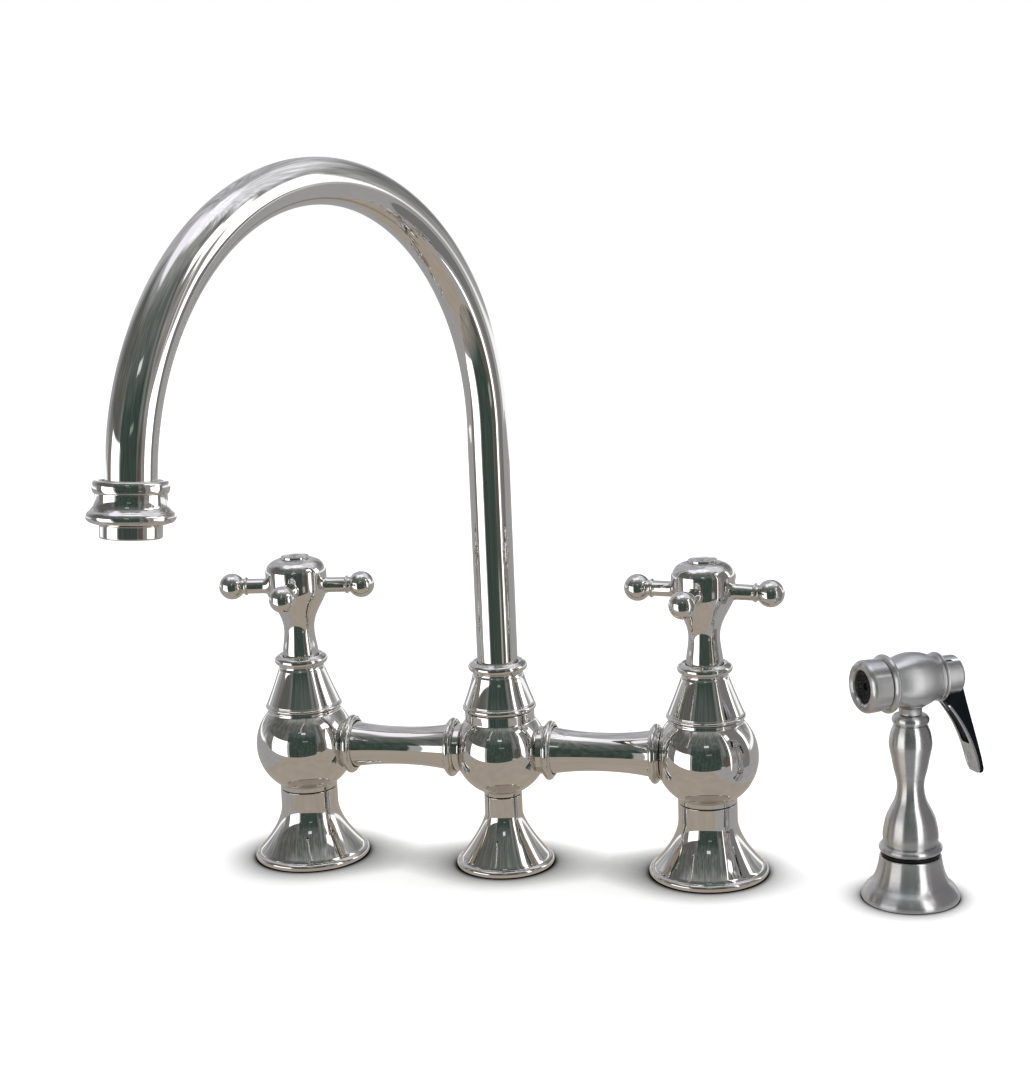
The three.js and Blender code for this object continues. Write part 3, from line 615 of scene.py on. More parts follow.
def finish(name, dark, light, rough, scale, bump, metallic=0.0, gloss=0.5, slot=None):
    """A finish with handling marks and a faint unevenness, and the slot that it fills."""
    material, tree, shader, place = new_material(name, PRINCIPLED)
    marks = place_group(tree, MARKS, Vector=place, Scale=scale, Least=rough[0], Most=rough[1])
    fill(tree, shader, {
        "Metallic": metallic,
        "Specular IOR Level": gloss,
        "Base Color": tinted(tree, marks["Height"], dark, light),
        "Roughness": marks["Roughness"],
        "Normal": raised(tree, marks["Height"], bump),
    })
    return material, slot or name


def metal(name, dark, light, rough, scale, slot=None):
    return finish(name, dark, light, rough, scale, 0.02, metallic=1.0, slot=slot)


def brushed(name, matrix, axis):
    """Nickel brushed round an axis, so that its highlights run along that axis."""
    material, tree, shader, place = new_material(name, PRINCIPLED)
    turn = matrix.inverted()
    centred = add(tree, "ShaderNodeMapping",
                  {"Vector": place, "Location": turn.translation, "Rotation": turn.to_euler()})
    rings = place_group(tree, BRUSHING, Vector=centred.outputs[0], Lines=BRUSHED_LINES)
    tangent = add(tree, "ShaderNodeCombineXYZ", {"X": axis.x, "Y": axis.y, "Z": axis.z})
    fill(tree, shader, {
        "Metallic": 1.0,
        "Anisotropic": 0.97,
        "Tangent": tangent.outputs[0],
        "Base Color": tinted(tree, rings["Band"], (0.61, 0.605, 0.60, 1), (0.73, 0.725, 0.72, 1)),
        "Roughness": ranged(tree, rings["Line"], 0.3, 0.7, 0.27, 0.33),
        "Normal": raised(tree, rings["Line"], 0.006, 0.25),
    })
    return material, "brushed_nickel"


AT_SPRAY = at(SPRAY_X, SPRAY_Y)
AT_HEAD = at(SPRAY_X, SPRAY_Y, HEAD_HEIGHT, HEAD_TURN)
UP = Vector((0, 0, 1))
AIM = AT_HEAD.to_3x3() @ Vector((1, 0, 0))

NICKEL = metal("polished_nickel", (0.70, 0.68, 0.65, 1), (0.76, 0.74, 0.71, 1), (0.025, 0.06), 70.0)
NICKEL_UPRIGHT = brushed("brushed_nickel_upright", AT_SPRAY, UP)
NICKEL_AIMED = brushed("brushed_nickel_aimed", AT_HEAD @ LYING, AIM)
# The polished nickel again with painted shade, for the lever's plated strip: a darker, cooler colour
# that makes it mirror darker. It is rougher too.
NICKEL_SHADED_COPY = metal("shaded_nickel_copy", (0.56, 0.60, 0.64, 1), (0.70, 0.74, 0.77, 1),
                    (0.12, 0.2), 70.0, "polished_nickel")
BRASS = metal("brass", (0.50, 0.33, 0.13, 1), (0.74, 0.55, 0.27, 1), (0.22, 0.42), 90.0)
STEEL = metal("steel", (0.40, 0.41, 0.42, 1), (0.55, 0.56, 0.57, 1), (0.28, 0.45), 140.0)
RUBBER = finish("rubber", (0.010, 0.010, 0.011, 1), (0.022, 0.022, 0.023, 1),
                (0.6, 0.85), 300.0, 0.05)
BLACK = finish("black_plastic", (0.006, 0.006, 0.007, 1), (0.012, 0.012, 0.014, 1),
               (0.35, 0.5), 200.0, 0.01, gloss=0.25)
BLACK_SATIN = finish("black_lever", (0.005, 0.007, 0.009, 1), (0.008, 0.010, 0.013, 1),
                     (0.4, 0.5), 120.0, 0.01, gloss=0.05)
CERAMIC = finish("ceramic", (0.70, 0.69, 0.66, 1), (0.80, 0.79, 0.77, 1),
                 (0.12, 0.25), 80.0, 0.01)


def dress(piece, node, look=NICKEL, body="faucet"):
    """Gives a finished piece its material and body, and lets it stand for its node."""
    material, slot = look
    piece.name = node + "_piece"
    piece.data.name = piece.name
    piece.data.materials.clear()
    piece.data.materials.append(material)
    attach(piece, body)
    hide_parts(node)


# ---- Posts ----


def ball_top(post):
    return BRIDGE_HEIGHT + math.sqrt(post["ball"] ** 2 - post["collar"] ** 2)


def collar_top(post):
    return ball_top(post) + post["collar_height"]


def bonnet_top(post):
    return collar_top(post) + GAP + post["bonnet_height"]


HANDLE_BOTTOM = bonnet_top(SIDE) - HANDLE_DIP
SPOUT_BOTTOM = collar_top(CENTRE) - SPOUT_INSERT


def foot(post):
    rim = post["foot_rim"]
    neck = post["foot_neck"]
    neck_start = FOOT_TOP - post["neck_length"]
    bore = post["shank"] + GAP
    outside = flare((rim - 2.2, 4.1), (neck, neck_start), post["foot_power"])
    inside = flare((rim - FOOT_SEAT, 0), (bore, neck_start - FOOT_WALL), post["foot_power"], 12)
    outline = [
        (rim - 1.4, 0),
        *arc(1.7, 1.7, -50, 75, 9, rim - 1.7),
        (rim - 2.0, 3.5),
        *outside,
        (neck, FOOT_TOP - 0.1),
        (neck - 0.4, FOOT_TOP),
        (bore, FOOT_TOP),
        *inside[::-1],
    ]
    return turned("foot", outline, 0.3, True)


def ball_body(post, floor, bores):
    """The body without its bridge necks. Bores are [radius, height] going down from the top."""
    low = -math.degrees(math.acos(post["foot_neck"] / post["ball"]))
    high = math.degrees(math.acos(post["collar"] / post["ball"]))
    outline = [
        (post["foot_neck"] - 0.4, BODY_BOTTOM),
        (post["foot_neck"], BODY_BOTTOM + 0.3),
        *arc(post["ball"], BRIDGE_HEIGHT, low, high, 44),
        (post["collar"], collar_top(post)),
        *bores,
        (floor, BODY_BOTTOM + post["socket"]),
        (post["shank"] + GAP, BODY_BOTTOM + post["socket"]),
        (post["shank"] + GAP, BODY_BOTTOM),
    ]
    return turned("body", outline, 0.4, True)


def with_necks(body, turns):
    """Joins the bridge's necks to a body and bores them through."""
    length = UNION_OFFSET - GAP / 2
    for turn in turns:
        reach = [(0, NECK_ROOT), (NECK, NECK_ROOT), (NECK, length), (0, length)]
        neck = turned("neck", reach, 0.4, False, 64)
        combine(body, placed(neck, at(0, 0, BRIDGE_HEIGHT, turn) @ LYING), "UNION")
    bores = [at(0, 0, BRIDGE_HEIGHT, turn) @ LYING for turn in turns]
    drilled(body, BRIDGE_BORE, BORE_START, UNION_OFFSET + 2, bores)
    return shaded(body)


def bonnet(post, mouth):
    """The bell over a ball body, with a lip below, a bead on top and room for what it covers."""
    bottom = collar_top(post) + GAP
    top = bonnet_top(post)
    middle = top - BEAD_TUBE
    throat = post["throat"]
    throat_top = middle - BEAD_TUBE
    lip = post["bonnet_lip"]
    half = post["lip_height"] / 2
    bell = flare(
        (post["shoulder"] - 0.2, bottom + post["lip_height"] + 0.7),
        (throat, throat_top - 2.2),
        post["bonnet_power"],
    )
    ring = [
        (throat - 0.5, throat_top - 1.4),
        (throat - 0.5, throat_top - 0.4),
        *bead(throat - 0.2, post["bead"], middle - 0.3, BEAD_TUBE - 0.3)[1:-1],
    ]
    outline = [
        (lip - 1.2, bottom),
        *bead(lip - 1.0, lip, bottom + half, half - 0.1, 10),
        (post["shoulder"] - 0.4, bottom + post["lip_height"] + 0.2),
        *bell,
        *ring,
        (mouth + 1.6, top),
        (mouth, top - 0.6),
        (mouth, throat_top - 2),
        (post["cavity"], bottom + post["cavity_height"]),
        (post["cavity"], bottom),
    ]
    return turned("bonnet", outline, 0.25, True)


def shank(post):
    radius = post["shank"]
    bore = radius - post["shank_wall"]
    top = BODY_BOTTOM + post["socket"] - GAP
    outline = [*thread(radius, -SHANK_DROP, top), (bore, top), (bore, -SHANK_DROP)]
    return turned("shank", outline, 0.0, True, 64)


def washer(radius, bore, bottom, top):
    outline = [(radius, bottom), (radius, top), (bore, top), (bore, bottom)]
    return turned("washer", outline, 0.4, True, 64)


def nut(across, bore, bottom, height):
    """A hexagon nut with turned-off corners and a chamfered, bored middle."""
    deselect()
    bpy.ops.mesh.primitive_cylinder_add(
        vertices=6,
        radius=across / math.sqrt(3) * MM,
        depth=height * MM,
        location=(0, 0, (bottom + height / 2) * MM),
    )
    piece = settled()
    top = bottom + height
    wide = across * 0.56
    limits = [(0, bottom - 1), (wide - 2, bottom - 1), (wide + 1, bottom + 1.2),
              (wide + 1, top - 1.2), (wide - 2, top + 1), (0, top + 1)]
    combine(piece, turned("shell", limits, 0.0, False, 64), "INTERSECT")
    drilled(piece, bore, bottom - 1, top + 1, [at()])
    bevel(piece, 0.25, angle=30)
    return shaded(piece)


def clamp(side, post, x):
    """Shank, washer and nut of one post."""
    bore = post["shank"] + GAP
    washer_bottom = -WORKTOP - WASHER_THICKNESS
    nut_bottom = washer_bottom - GAP - NUT_HEIGHT
    pieces = (
        ("shank", shank(post), BRASS),
        ("washer", washer(post["shank"] + WASHER_MARGIN, bore, washer_bottom, -WORKTOP), STEEL),
        ("mounting_nut", nut(3.1 * post["shank"], bore, nut_bottom, NUT_HEIGHT), BRASS),
    )
    for kind, piece, look in pieces:
        dress(placed(piece, at(x)), f"{side}_{kind}", look)


def handle():
    """Cross handle, its hub and stalk turned in one and four ball-ended arms let into it."""
    stalk = smooth(
        [(STALK, 1.0), (8.7, 4.6), (7.95, 9.5), (7.55, 14.0), (7.9, 18.0), (9.3, 22.4),
         (11.9, 27.4), (14.0, 31.4), (14.95, 34.6), (HUB_RADIUS, 37.5)]
    )
    dome = smooth(
        [(HUB_RADIUS, HUB_EDGE - 1.5), (14.8, HUB_EDGE + 0.6), (13.5, HUB_EDGE + 3.0),
         (11.4, HUB_EDGE + 4.7), (9.0, HUB_EDGE + 5.6)]
    )
    hub = turned(
        "hub",
        [(STEM_BORE, 0), (STALK_FOOT, 0), *stalk, *dome, (BUTTON_RADIUS + 0.8, HUB_TOP - 0.9),
         (BUTTON_RADIUS + 0.5, HUB_TOP - 1.5), (BUTTON_BORE, HUB_TOP - 1.5),
         (BUTTON_BORE, HUB_TOP - 5), (STEM_BORE, HUB_TOP - 5)],
        0.25,
        True,
    )
    ball_neck = math.degrees(math.acos(ARM_RADIUS / ARM_BALL))
    collar = ARM_REACH - ARM_BALL - 0.7
    arm_outline = [
        (0, HUB_RADIUS / 2),
        (ARM_RADIUS + 0.4, HUB_RADIUS / 2),
        *smooth([(ARM_RADIUS + 0.6, HUB_RADIUS - 0.7), (ARM_RADIUS + 0.2, HUB_RADIUS + 0.3),
                 (ARM_RADIUS, HUB_RADIUS + 1.2)]),
        (ARM_RADIUS, collar - 0.9),
        *bead(ARM_RADIUS, ARM_RADIUS + 0.8, collar, 0.7, 8)[1:],
        *arc(ARM_BALL, ARM_REACH, -ball_neck, 90, 26),
    ]
    for turn in (0, 90, 180, 270):
        arm = turned("arm", arm_outline, 0.25, False, FINE_SIDES)
        combine(hub, placed(arm, at(0, 0, ARM_HEIGHT, turn) @ LYING), "UNION")
    return shaded(hub)


def button():
    """The bare index disc, with a slightly domed top."""
    dome = 30
    outline = [
        (0, HUB_TOP - 4),
        (BUTTON_BORE - GAP, HUB_TOP - 4),
        (BUTTON_BORE - GAP, HUB_TOP - 1.2),
        (BUTTON_RADIUS, HUB_TOP - 1.2),
        (BUTTON_RADIUS, HUB_TOP + 0.3),
        *arc(dome, HUB_TOP + GAP + 0.6 - dome, 77.7, 90, 6),
    ]
    return turned("button", outline, 0.3, False, 64)


def valve_post(side, x, facing, handle_turn):
    """All that stands on one side's foot, with its handle turned as in the photo."""
    body = f"{side}_handle_body"
    bores = [
        (CARTRIDGE + GAP, collar_top(SIDE)),
        (CARTRIDGE + GAP, CARTRIDGE_FLOOR),
        (WATERWAY, CARTRIDGE_FLOOR),
    ]
    valve = with_necks(ball_body(SIDE, WATERWAY, bores), [0])
    dress(placed(valve, at(x, turn=facing)), f"{side}_valve_body")
    dress(placed(foot(SIDE), at(x)), f"{side}_foot")
    clamp(side, SIDE, x)
    dress(placed(bonnet(SIDE, STALK + GAP), at(x)), f"{side}_bonnet")
    turned_handle = at(x, 0, HANDLE_BOTTOM, handle_turn)
    dress(placed(handle(), turned_handle), f"{side}_handle", body=body)
    dress(placed(button(), turned_handle), f"{side}_index_button", body=body)


def centre_post():
    """The centre post, bored for the spout with a groove for its seal."""
    groove = SPOUT_BOTTOM + SEAL_RISE
    bore = TUBE + GAP
    bores = [
        (bore, collar_top(CENTRE)),
        (bore, groove + SEAL_HALF),
        (bore + SEAL_DEPTH, groove + SEAL_HALF),
        (bore + SEAL_DEPTH, groove - SEAL_HALF),
        (bore, groove - SEAL_HALF),
        (bore, SPOUT_BOTTOM - GAP),
        (SPOUT_WATERWAY, SPOUT_BOTTOM - GAP),
    ]
    dress(with_necks(ball_body(CENTRE, SPOUT_WATERWAY, bores), [0, 180]), "centre_body")
    dress(foot(CENTRE), "centre_foot")
    clamp("centre", CENTRE, 0)
    dress(bonnet(CENTRE, bore), "centre_bonnet")


# ---- Bridge ----


def bridge_tube(half_steps=20):
    """A tube that narrows to its waist, halfway along."""
    inner = UNION_OFFSET + GAP / 2
    outer = POST_SPACING - UNION_OFFSET - GAP / 2
    outside = []
    for i in range(2 * half_steps + 1):
        radius = TUBE_WAIST + (NECK - TUBE_WAIST) * abs(i / half_steps - 1) ** 2.2
        outside.append((radius, inner + (outer - inner) * i / (2 * half_steps)))
    outline = [*outside, (BRIDGE_BORE, outer), (BRIDGE_BORE, inner)]
    return turned("bridge", outline, 0.2, True, 80)


def union_ring(place):
    half = UNION_WIDTH / 2
    bore = NECK + GAP
    outline = [
        (bore + 0.9, place - half),
        (bore + 1.2, place - half + 0.5),
        *bead(bore + 1.2, UNION_RADIUS, place, half - 0.7, 16),
        (bore + 1.2, place + half - 0.5),
        (bore + 0.9, place + half),
        (bore, place + half),
        (bore, place - half),
    ]
    return turned("union", outline, 0.12, True, 80)


def bridge_arm(side, turn):
    along = at(0, 0, BRIDGE_HEIGHT, turn) @ LYING
    dress(placed(bridge_tube(), along), f"{side}_bridge_tube")
    for end, place in (("inner", UNION_OFFSET), ("outer", POST_SPACING - UNION_OFFSET)):
        dress(placed(union_ring(place), along), f"{side}_{end}_union")


# ---- Spout ----


def spout_tube():
    """A circle drawn up the riser, spun round the bend and drawn down to the outlet."""
    deselect()
    bpy.ops.mesh.primitive_circle_add(
        vertices=64, radius=TUBE * MM, location=(0, 0, SPOUT_BOTTOM * MM)
    )
    piece = settled()
    edit(piece)
    extrude(0, 0, (RISER_TOP - SPOUT_BOTTOM) * MM)
    spin(180 - OUTLET_LEAN, 116, (0, -BEND_RADIUS, RISER_TOP), (1, 0, 0))
    lean = math.radians(OUTLET_LEAN)
    drop = (BEND_RADIUS * math.sin(lean) + OUTLET_DROP) * MM
    extrude(0, -drop * math.tan(lean), -drop)
    close_up()
    apply(piece, "SOLIDIFY", thickness=TUBE_WALL * MM, offset=-1)
    return shaded(piece)


def aerator_housing():
    """Two turned rings with a waist between them, and a plain lip below."""
    lip_top = AERATOR_BOTTOM + 5
    seat = RISER_TOP - OUTLET_DROP - GAP
    outside = [
        (AERATOR_LIP - 0.5, AERATOR_BOTTOM),
        (AERATOR_LIP, AERATOR_BOTTOM + 0.5),
        (AERATOR_LIP, lip_top),
        (AERATOR_LIP + 1.9, lip_top + 0.5),
        *smooth([(15.7, lip_top + 1.2), (16.6, lip_top + 2.2), (16.8, lip_top + 3.4),
                 (16.3, lip_top + 4.6), (15.4, lip_top + 5.4)], 4),
        *smooth([(15.2, lip_top + 5.6), (14.2, lip_top + 7.0), (13.7, lip_top + 9.0),
                 (AERATOR_WAIST, lip_top + 11.2)], 5),
        *bead(AERATOR_WAIST, 14.5, AERATOR_TOP - BEAD_TUBE, BEAD_TUBE),
        (AERATOR_SOCKET + 0.8, AERATOR_TOP),
        (AERATOR_SOCKET, AERATOR_TOP - 0.8),
    ]
    cavity = AERATOR_LIP - TUBE_WALL
    inside = [
        (AERATOR_SOCKET, seat),
        (SPOUT_WATERWAY, seat),
        (SPOUT_WATERWAY, lip_top + 0.6),
        (cavity, lip_top + 0.6),
        (cavity, AERATOR_BOTTOM),
    ]
    return turned("aerator", outside + inside, 0.3, True)


def aerator_insert():
    """A disc with rings of jets through it."""
    top = AERATOR_BOTTOM + 5.3
    radius = AERATOR_LIP - TUBE_WALL - GAP
    outline = [(0, AERATOR_BOTTOM + 0.9), (radius - 1.2, AERATOR_BOTTOM + 0.9),
               (radius, AERATOR_BOTTOM + 0.7), (radius, top), (0, top)]
    disc = turned("insert", outline, 0.2, False, 64)
    drilled(disc, 0.9, AERATOR_BOTTOM, top + 1, hole_rings((6.3, 12), (3.2, 6), (0, 1)), 12)
    return shaded(disc)


def spout():
    """The tube, turned as in the photo, and the aerator on its leaning end."""
    turning = at(turn=-SPOUT_TURN)
    lean = math.radians(OUTLET_LEAN)
    bend_end = RISER_TOP + BEND_RADIUS * math.sin(lean)
    leaning = at(0, -BEND_RADIUS * (1 + math.cos(lean)), bend_end)
    leaning = leaning @ Matrix.Rotation(-lean, 4, "X") @ at(0, 0, -bend_end)
    outlet = turning @ leaning
    dress(placed(spout_tube(), turning), "spout_tube", body="spout")
    dress(placed(aerator_housing(), outlet), "aerator_housing", body="spout")
    dress(placed(aerator_insert(), outlet), "aerator_insert", BLACK, "spout")


# ---- Side spray ----


def spray_holder():
    """The flared holder and its threaded shank, turned in one."""
    socket = LINER + GAP
    flared = smooth(
        [(22.5, 0.9), (22.1, 2.6), (20.3, 5.4), (17.7, 8.1), (15.9, 11.8), (14.6, 16.8),
         (HOLDER_MOUTH, HOLDER_TOP - 0.4)], 8
    )
    outline = [
        (22.1, 0),
        *flared,
        (HOLDER_MOUTH - 0.3, HOLDER_TOP),
        (socket, HOLDER_TOP),
        (socket, 2),
        (HOLDER_BORE, 2),
        (HOLDER_BORE, -HOLDER_DROP),
        *thread(HOLDER_SHANK, -HOLDER_DROP, -4),
        (HOLDER_SHANK, -4),
        (HOLDER_SHANK, 1),
        (HOLDER_RIM - FOOT_SEAT, 1),
        (HOLDER_RIM - FOOT_SEAT, 0),
    ]
    return turned("holder", outline, 0.12, True)


def spray_liner():
    """The black sleeve in the holder, with a lip that shows under the wand."""
    bore = LINER - 2
    lip = HOLDER_MOUTH - 0.9
    outline = [(LINER, 2.3), (LINER, HOLDER_TOP + GAP), (lip, HOLDER_TOP + GAP), (lip, LINER_TOP),
               (bore, LINER_TOP), (bore, 2.3)]
    return turned("liner", outline, 0.3, True)


def wand_handle():
    """The turned handle, from its shank in the sleeve up to the ring under the head."""
    grip = smooth(
        [(12.2, WAND_RING_TOP - 0.3), (12.4, 27), (12.65, 31), (11.4, 37.9), (9.5, 42.5), (7.3, 47),
         (6.25, 51.7), (6.35, 56.3), (7.6, 61.5), (8.7, 67.3), (9.65, 72.1), (9.75, 75), (9.0, 79.3),
         (7.7, 82.6)],
    )
    outline = [
        (LINER - 2.3, 4),
        (LINER - 2.3, WAND_SEAT),
        *bead(12.2, WAND_RING, WAND_SEAT + 1.9, 1.9),
        *grip[2:],
        *bead(6.9, UPPER_RING, WAND_TOP - 2.2, 2.1),
        (5.6, WAND_TOP),
        (WAND_BORE, WAND_TOP),
        (WAND_BORE, 4),
    ]
    return turned("wand", outline, 0.25, True)


def hose_inlet():
    """Threaded nipple with a small flange, where the hose screws on."""
    top = 4 - GAP
    outline = [*thread(6.6, top - 16, top - 5), (6.6, top - 5), (7, top - 4.5), (7, top - 0.4),
               (6.6, top), (WAND_BORE, top), (WAND_BORE, top - 16)]
    return turned("inlet", outline, 0.1, True, 48)


def spray_head():
    """The swelling barrel between its rings, on a short neck."""
    barrel = smooth(
        [(9.5, -11.4), (11.1, -8.6), (12.4, -4.7), (12.95, 0), (12.5, 4.3), (11.4, 8), (10.2, 11.1)]
    )
    outline = [
        (0, RING_REAR),
        *bead(9.2, 11.4, -13.85, 0.8, 10),
        *bead(9.2, 11.0, -12.25, 0.65, 8),
        *barrel,
        *bead(10.2, 13.5, 13.3, 1.9),
        (0, RING_FRONT),
    ]
    head = placed(turned("head", outline, 0.2), LYING)
    bottom = WAND_TOP + GAP - HEAD_HEIGHT
    neck_outline = [(0, bottom), (HEAD_NECK, bottom), (HEAD_NECK, -13.4),
                    *smooth([(HEAD_NECK + 0.1, -13.2), (5.7, -12.2), (7.2, -11.2)], 4), (0, -5)]
    combine(head, turned("neck", neck_outline, 0.2, False, 64), "UNION")
    drilled(head, 6, -4, RING_FRONT + 1, [LYING])
    return shaded(head)


def spray_nose():
    """Front barrel with a rolled rim round the recessed jet face."""
    start = RING_FRONT + GAP
    rim = arc(2.3, NOSE_TIP - 2.3, 0, 90, 8, 9.8)
    mouth = smooth([(9.2, NOSE_TIP), (8.1, NOSE_TIP - 0.35), (7.6, NOSE_TIP - 1.3),
                    (NOSE_MOUTH, NOSE_TIP - 2.4)], 4)
    outline = [(11.7, start), (12.0, start + 4), *rim, *mouth, (NOSE_MOUTH, start)]
    return placed(turned("nose", outline, 0.2, True), LYING)


def jet_face():
    """Black jet plate: two rings of holes round a deeper centre."""
    front = NOSE_TIP - 1.5
    back = NOSE_TIP - 4.5
    radius = NOSE_MOUTH - GAP
    outline = [(0, back), (radius, back), (radius, front), (radius - 1, front),
               (radius - 1.5, front - 0.5), (3.1, front - 0.5), (2.8, front - 0.9),
               (1.9, front - 1.0), (1.6, front - 2.2), (0, front - 2.2)]
    face = turned("face", outline, 0.15, False, 72)
    drilled(face, 0.42, front - 1.6, front + 1, hole_rings((5.0, 16), (3.8, 11)), 10)
    bevel(face, 0.12, angle=50)
    return shaded(placed(face, LYING))


def spray_cap():
    """Rear cap, slotted from below and behind for the lever."""
    front = RING_REAR - GAP
    rounded = arc(2.0, -CAP_END + 2.0, -90, 0, 8, CAP - 2.0)
    outline = [(0, -CAP_END), *rounded, (CAP, front), (0, front)]
    cap = placed(turned("cap", outline, 0.2), LYING)
    floor = PIN_BACK - 4
    depth = CAP_END + 1 - floor
    slot = (depth, LEVER_WIDTH + 1, 2 * CAP)
    combine(cap, block(slot, (-floor - depth / 2, 0, PIN_RISE + 4 - CAP)), "DIFFERENCE")
    drilled(cap, 2.3, -CAP_END, front + 1, [LYING])
    bevel(cap, 0.2)
    return shaded(cap)


def lever_front(forward=0.0):
    """Points down the front of the lever, moved forward by a distance."""
    points = []
    for i in range(LEVER_STEPS + 1):
        t = i / LEVER_STEPS
        across, up = (
            (1 - t) ** 2 * a + 2 * t * (1 - t) * b + t**2 * c for a, b, c in zip(*LEVER_FRONT)
        )
        points.append((across + forward, up - forward * 0.4))
    return points


def width_at(height):
    """The lever's width at a height, as a share of its width at the cap."""
    for (high, wide), (low, narrow) in zip(LEVER_WIDTHS, LEVER_WIDTHS[1:]):
        if height >= low:
            return narrow + (wide - narrow) * min(1, (height - low) / (high - low))
    return LEVER_WIDTHS[-1][1]


def fit_width(piece):
    """Gives a straight-sided piece of the lever its width at each height."""
    edit(piece)
    for height in (*range(-12, -44, -4), -45, -46, -46.8, -47.5, -48.2):
        bpy.ops.mesh.select_all(action="SELECT")
        bpy.ops.mesh.bisect(plane_co=(0, 0, height * MM), plane_no=(0, 0, 1))
    mesh = bmesh.from_edit_mesh(piece.data)
    for vertex in mesh.verts:
        vertex.co.y *= width_at(vertex.co.z / MM)
    bmesh.update_edit_mesh(piece.data)
    bpy.ops.object.mode_set(mode="OBJECT")
    return piece


def spray_lever():
    """Black squeeze lever: a blade with flat sides, a straight back and a swept front."""
    outline = [
        (-18.2, PIN_RISE + 2),
        (-18.2, -10),
        *lever_front(),
        (-35.4, -48.3),
        (-36.2, -48.6),
        (-36.9, -47.8),
        (-CAP_END - 0.1, -0.8),
        (-PIN_BACK - 3, PIN_RISE),
        (-PIN_BACK - 1.8, PIN_RISE + 2.6),
    ]
    lever = fit_width(prism("lever", outline, LEVER_WIDTH - 0.6))
    bevel(lever, 0.4, 3)
    hole = at(-PIN_BACK, 0, PIN_RISE) @ Matrix.Rotation(math.pi / 2, 4, "X")
    drilled(lever, PIN_RADIUS + GAP, -10, 10, [hole], 32)
    return shaded(lever)


def lever_facing():
    """Plated front strip of the lever: two edges beside a long slot, and a dimpled pad."""
    front = lever_front(GAP + FACING)
    outline = front + lever_front(GAP)[::-1]
    strip = fit_width(prism("facing", outline, LEVER_WIDTH - 0.4))
    slot = block((30, LEVER_WIDTH * 0.76, 22.4), (-24, 0, -22.2))
    bevel(slot, 1.2, 4)
    combine(strip, slot, "DIFFERENCE")
    pad = front[FACING_PAD]
    sunk = [(across - 0.22, up) for across, up in pad]
    recess = prism("recess", sunk + [(across + 3, up) for across, up in pad[::-1]], LEVER_WIDTH - 2)
    combine(strip, fit_width(recess), "DIFFERENCE")
    across, up = front[FACING_DENT]
    bpy.ops.mesh.primitive_uv_sphere_add(
        segments=32, ring_count=16, radius=MM, scale=(0.95, 1.7, 2.8),
        location=Vector((across + 0.25, 0, up)) * MM
    )
    combine(strip, settled(), "DIFFERENCE")
    bevel(strip, 0.15)
    return shaded(strip)


def lever_pin():
    reach = math.sqrt(CAP**2 - (PIN_RISE + PIN_RADIUS) ** 2)
    outline = [(0, -reach), (PIN_RADIUS, -reach), (PIN_RADIUS, reach), (0, reach)]
    pin = turned("pin", outline, 0.25, False, 32)
    return placed(pin, at(-PIN_BACK, 0, PIN_RISE) @ Matrix.Rotation(math.pi / 2, 4, "X"))


def plunger():
    """The valve's rod, with a flange in the head and a chamfered tip at the lever."""
    tip = GAP - PLUNGER_REACH
    outline = [(0, tip), (PLUNGER - 0.8, tip), (PLUNGER, tip + 1.2), (PLUNGER, -3.4),
               (PLUNGER_HEAD, -3.4), (PLUNGER_HEAD, -0.6), (0, -0.6)]
    return placed(turned("plunger", outline, 0.2, False, 32), LYING)


def side_spray():
    """The holder and the wand's handle stand upright; the head and its lever are aimed."""
    nut_bottom = -WORKTOP - WASHER_THICKNESS - GAP - NUT_HEIGHT
    shank_bore = HOLDER_SHANK + GAP
    upright = (
        ("spray_holder", spray_holder(), NICKEL_UPRIGHT, "faucet"),
        ("spray_holder_liner", spray_liner(), BLACK, "faucet"),
        ("spray_holder_washer",
         washer(HOLDER_RIM, shank_bore, -WORKTOP - WASHER_THICKNESS, -WORKTOP), RUBBER, "faucet"),
        ("spray_holder_nut", nut(2.8 * HOLDER_SHANK, shank_bore, nut_bottom, NUT_HEIGHT),
         BRASS, "faucet"),
        ("spray_handle", wand_handle(), NICKEL_UPRIGHT, "wand"),
        ("spray_inlet", hose_inlet(), BRASS, "wand"),
    )
    aimed = (
        ("spray_head", spray_head(), NICKEL_AIMED, "wand"),
        ("spray_nose", spray_nose(), NICKEL_AIMED, "wand"),
        ("spray_face", jet_face(), BLACK, "wand"),
        ("spray_cap", spray_cap(), NICKEL_AIMED, "wand"),
        ("spray_lever_pin", lever_pin(), STEEL, "wand"),
        ("spray_lever", spray_lever(), BLACK_SATIN, "lever"),
        # The plated strip takes the polished nickel with painted shade.
        ("spray_lever_facing", lever_facing(), NICKEL_SHADED_COPY, "lever"),
        ("spray_plunger", plunger(), BRASS, "plunger"),
    )
    for place, pieces in ((AT_SPRAY, upright), (AT_HEAD, aimed)):
        for node, piece, look, body in pieces:
            dress(placed(piece, place), node, look, body)


valve_post("left", -POST_SPACING, 0, LEFT_TURN)
valve_post("right", POST_SPACING, 180, RIGHT_TURN)
centre_post()
bridge_arm("left", 180)
bridge_arm("right", 0)
spout()
side_spray()

# The pieces that stay as they are in the part lie inside the posts.
HIDDEN_FINISHES = {
    "cartridge": BRASS,
    "stem": BRASS,
    "disc": CERAMIC,
    "screw": STEEL,
    "seal": RUBBER,
    "diverter": BRASS,
    "ring": BRASS,
}
for node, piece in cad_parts.items():
    if not piece.hide_render:
        kind = next(kind for kind in HIDDEN_FINISHES if node.endswith(kind))
        material, _ = HIDDEN_FINISHES[kind]
        piece.data.materials.clear()
        piece.data.materials.append(material)


# ---- Camera ----

CAMERA_PLACE = Vector((0.22732, -0.85759, 0.32947))
CAMERA_TARGET = Vector((0.011908, 0, 0.161751))
CAMERA_ROLL = math.radians(2.303)
LENS = 62.1
FILM_WIDTH = 36


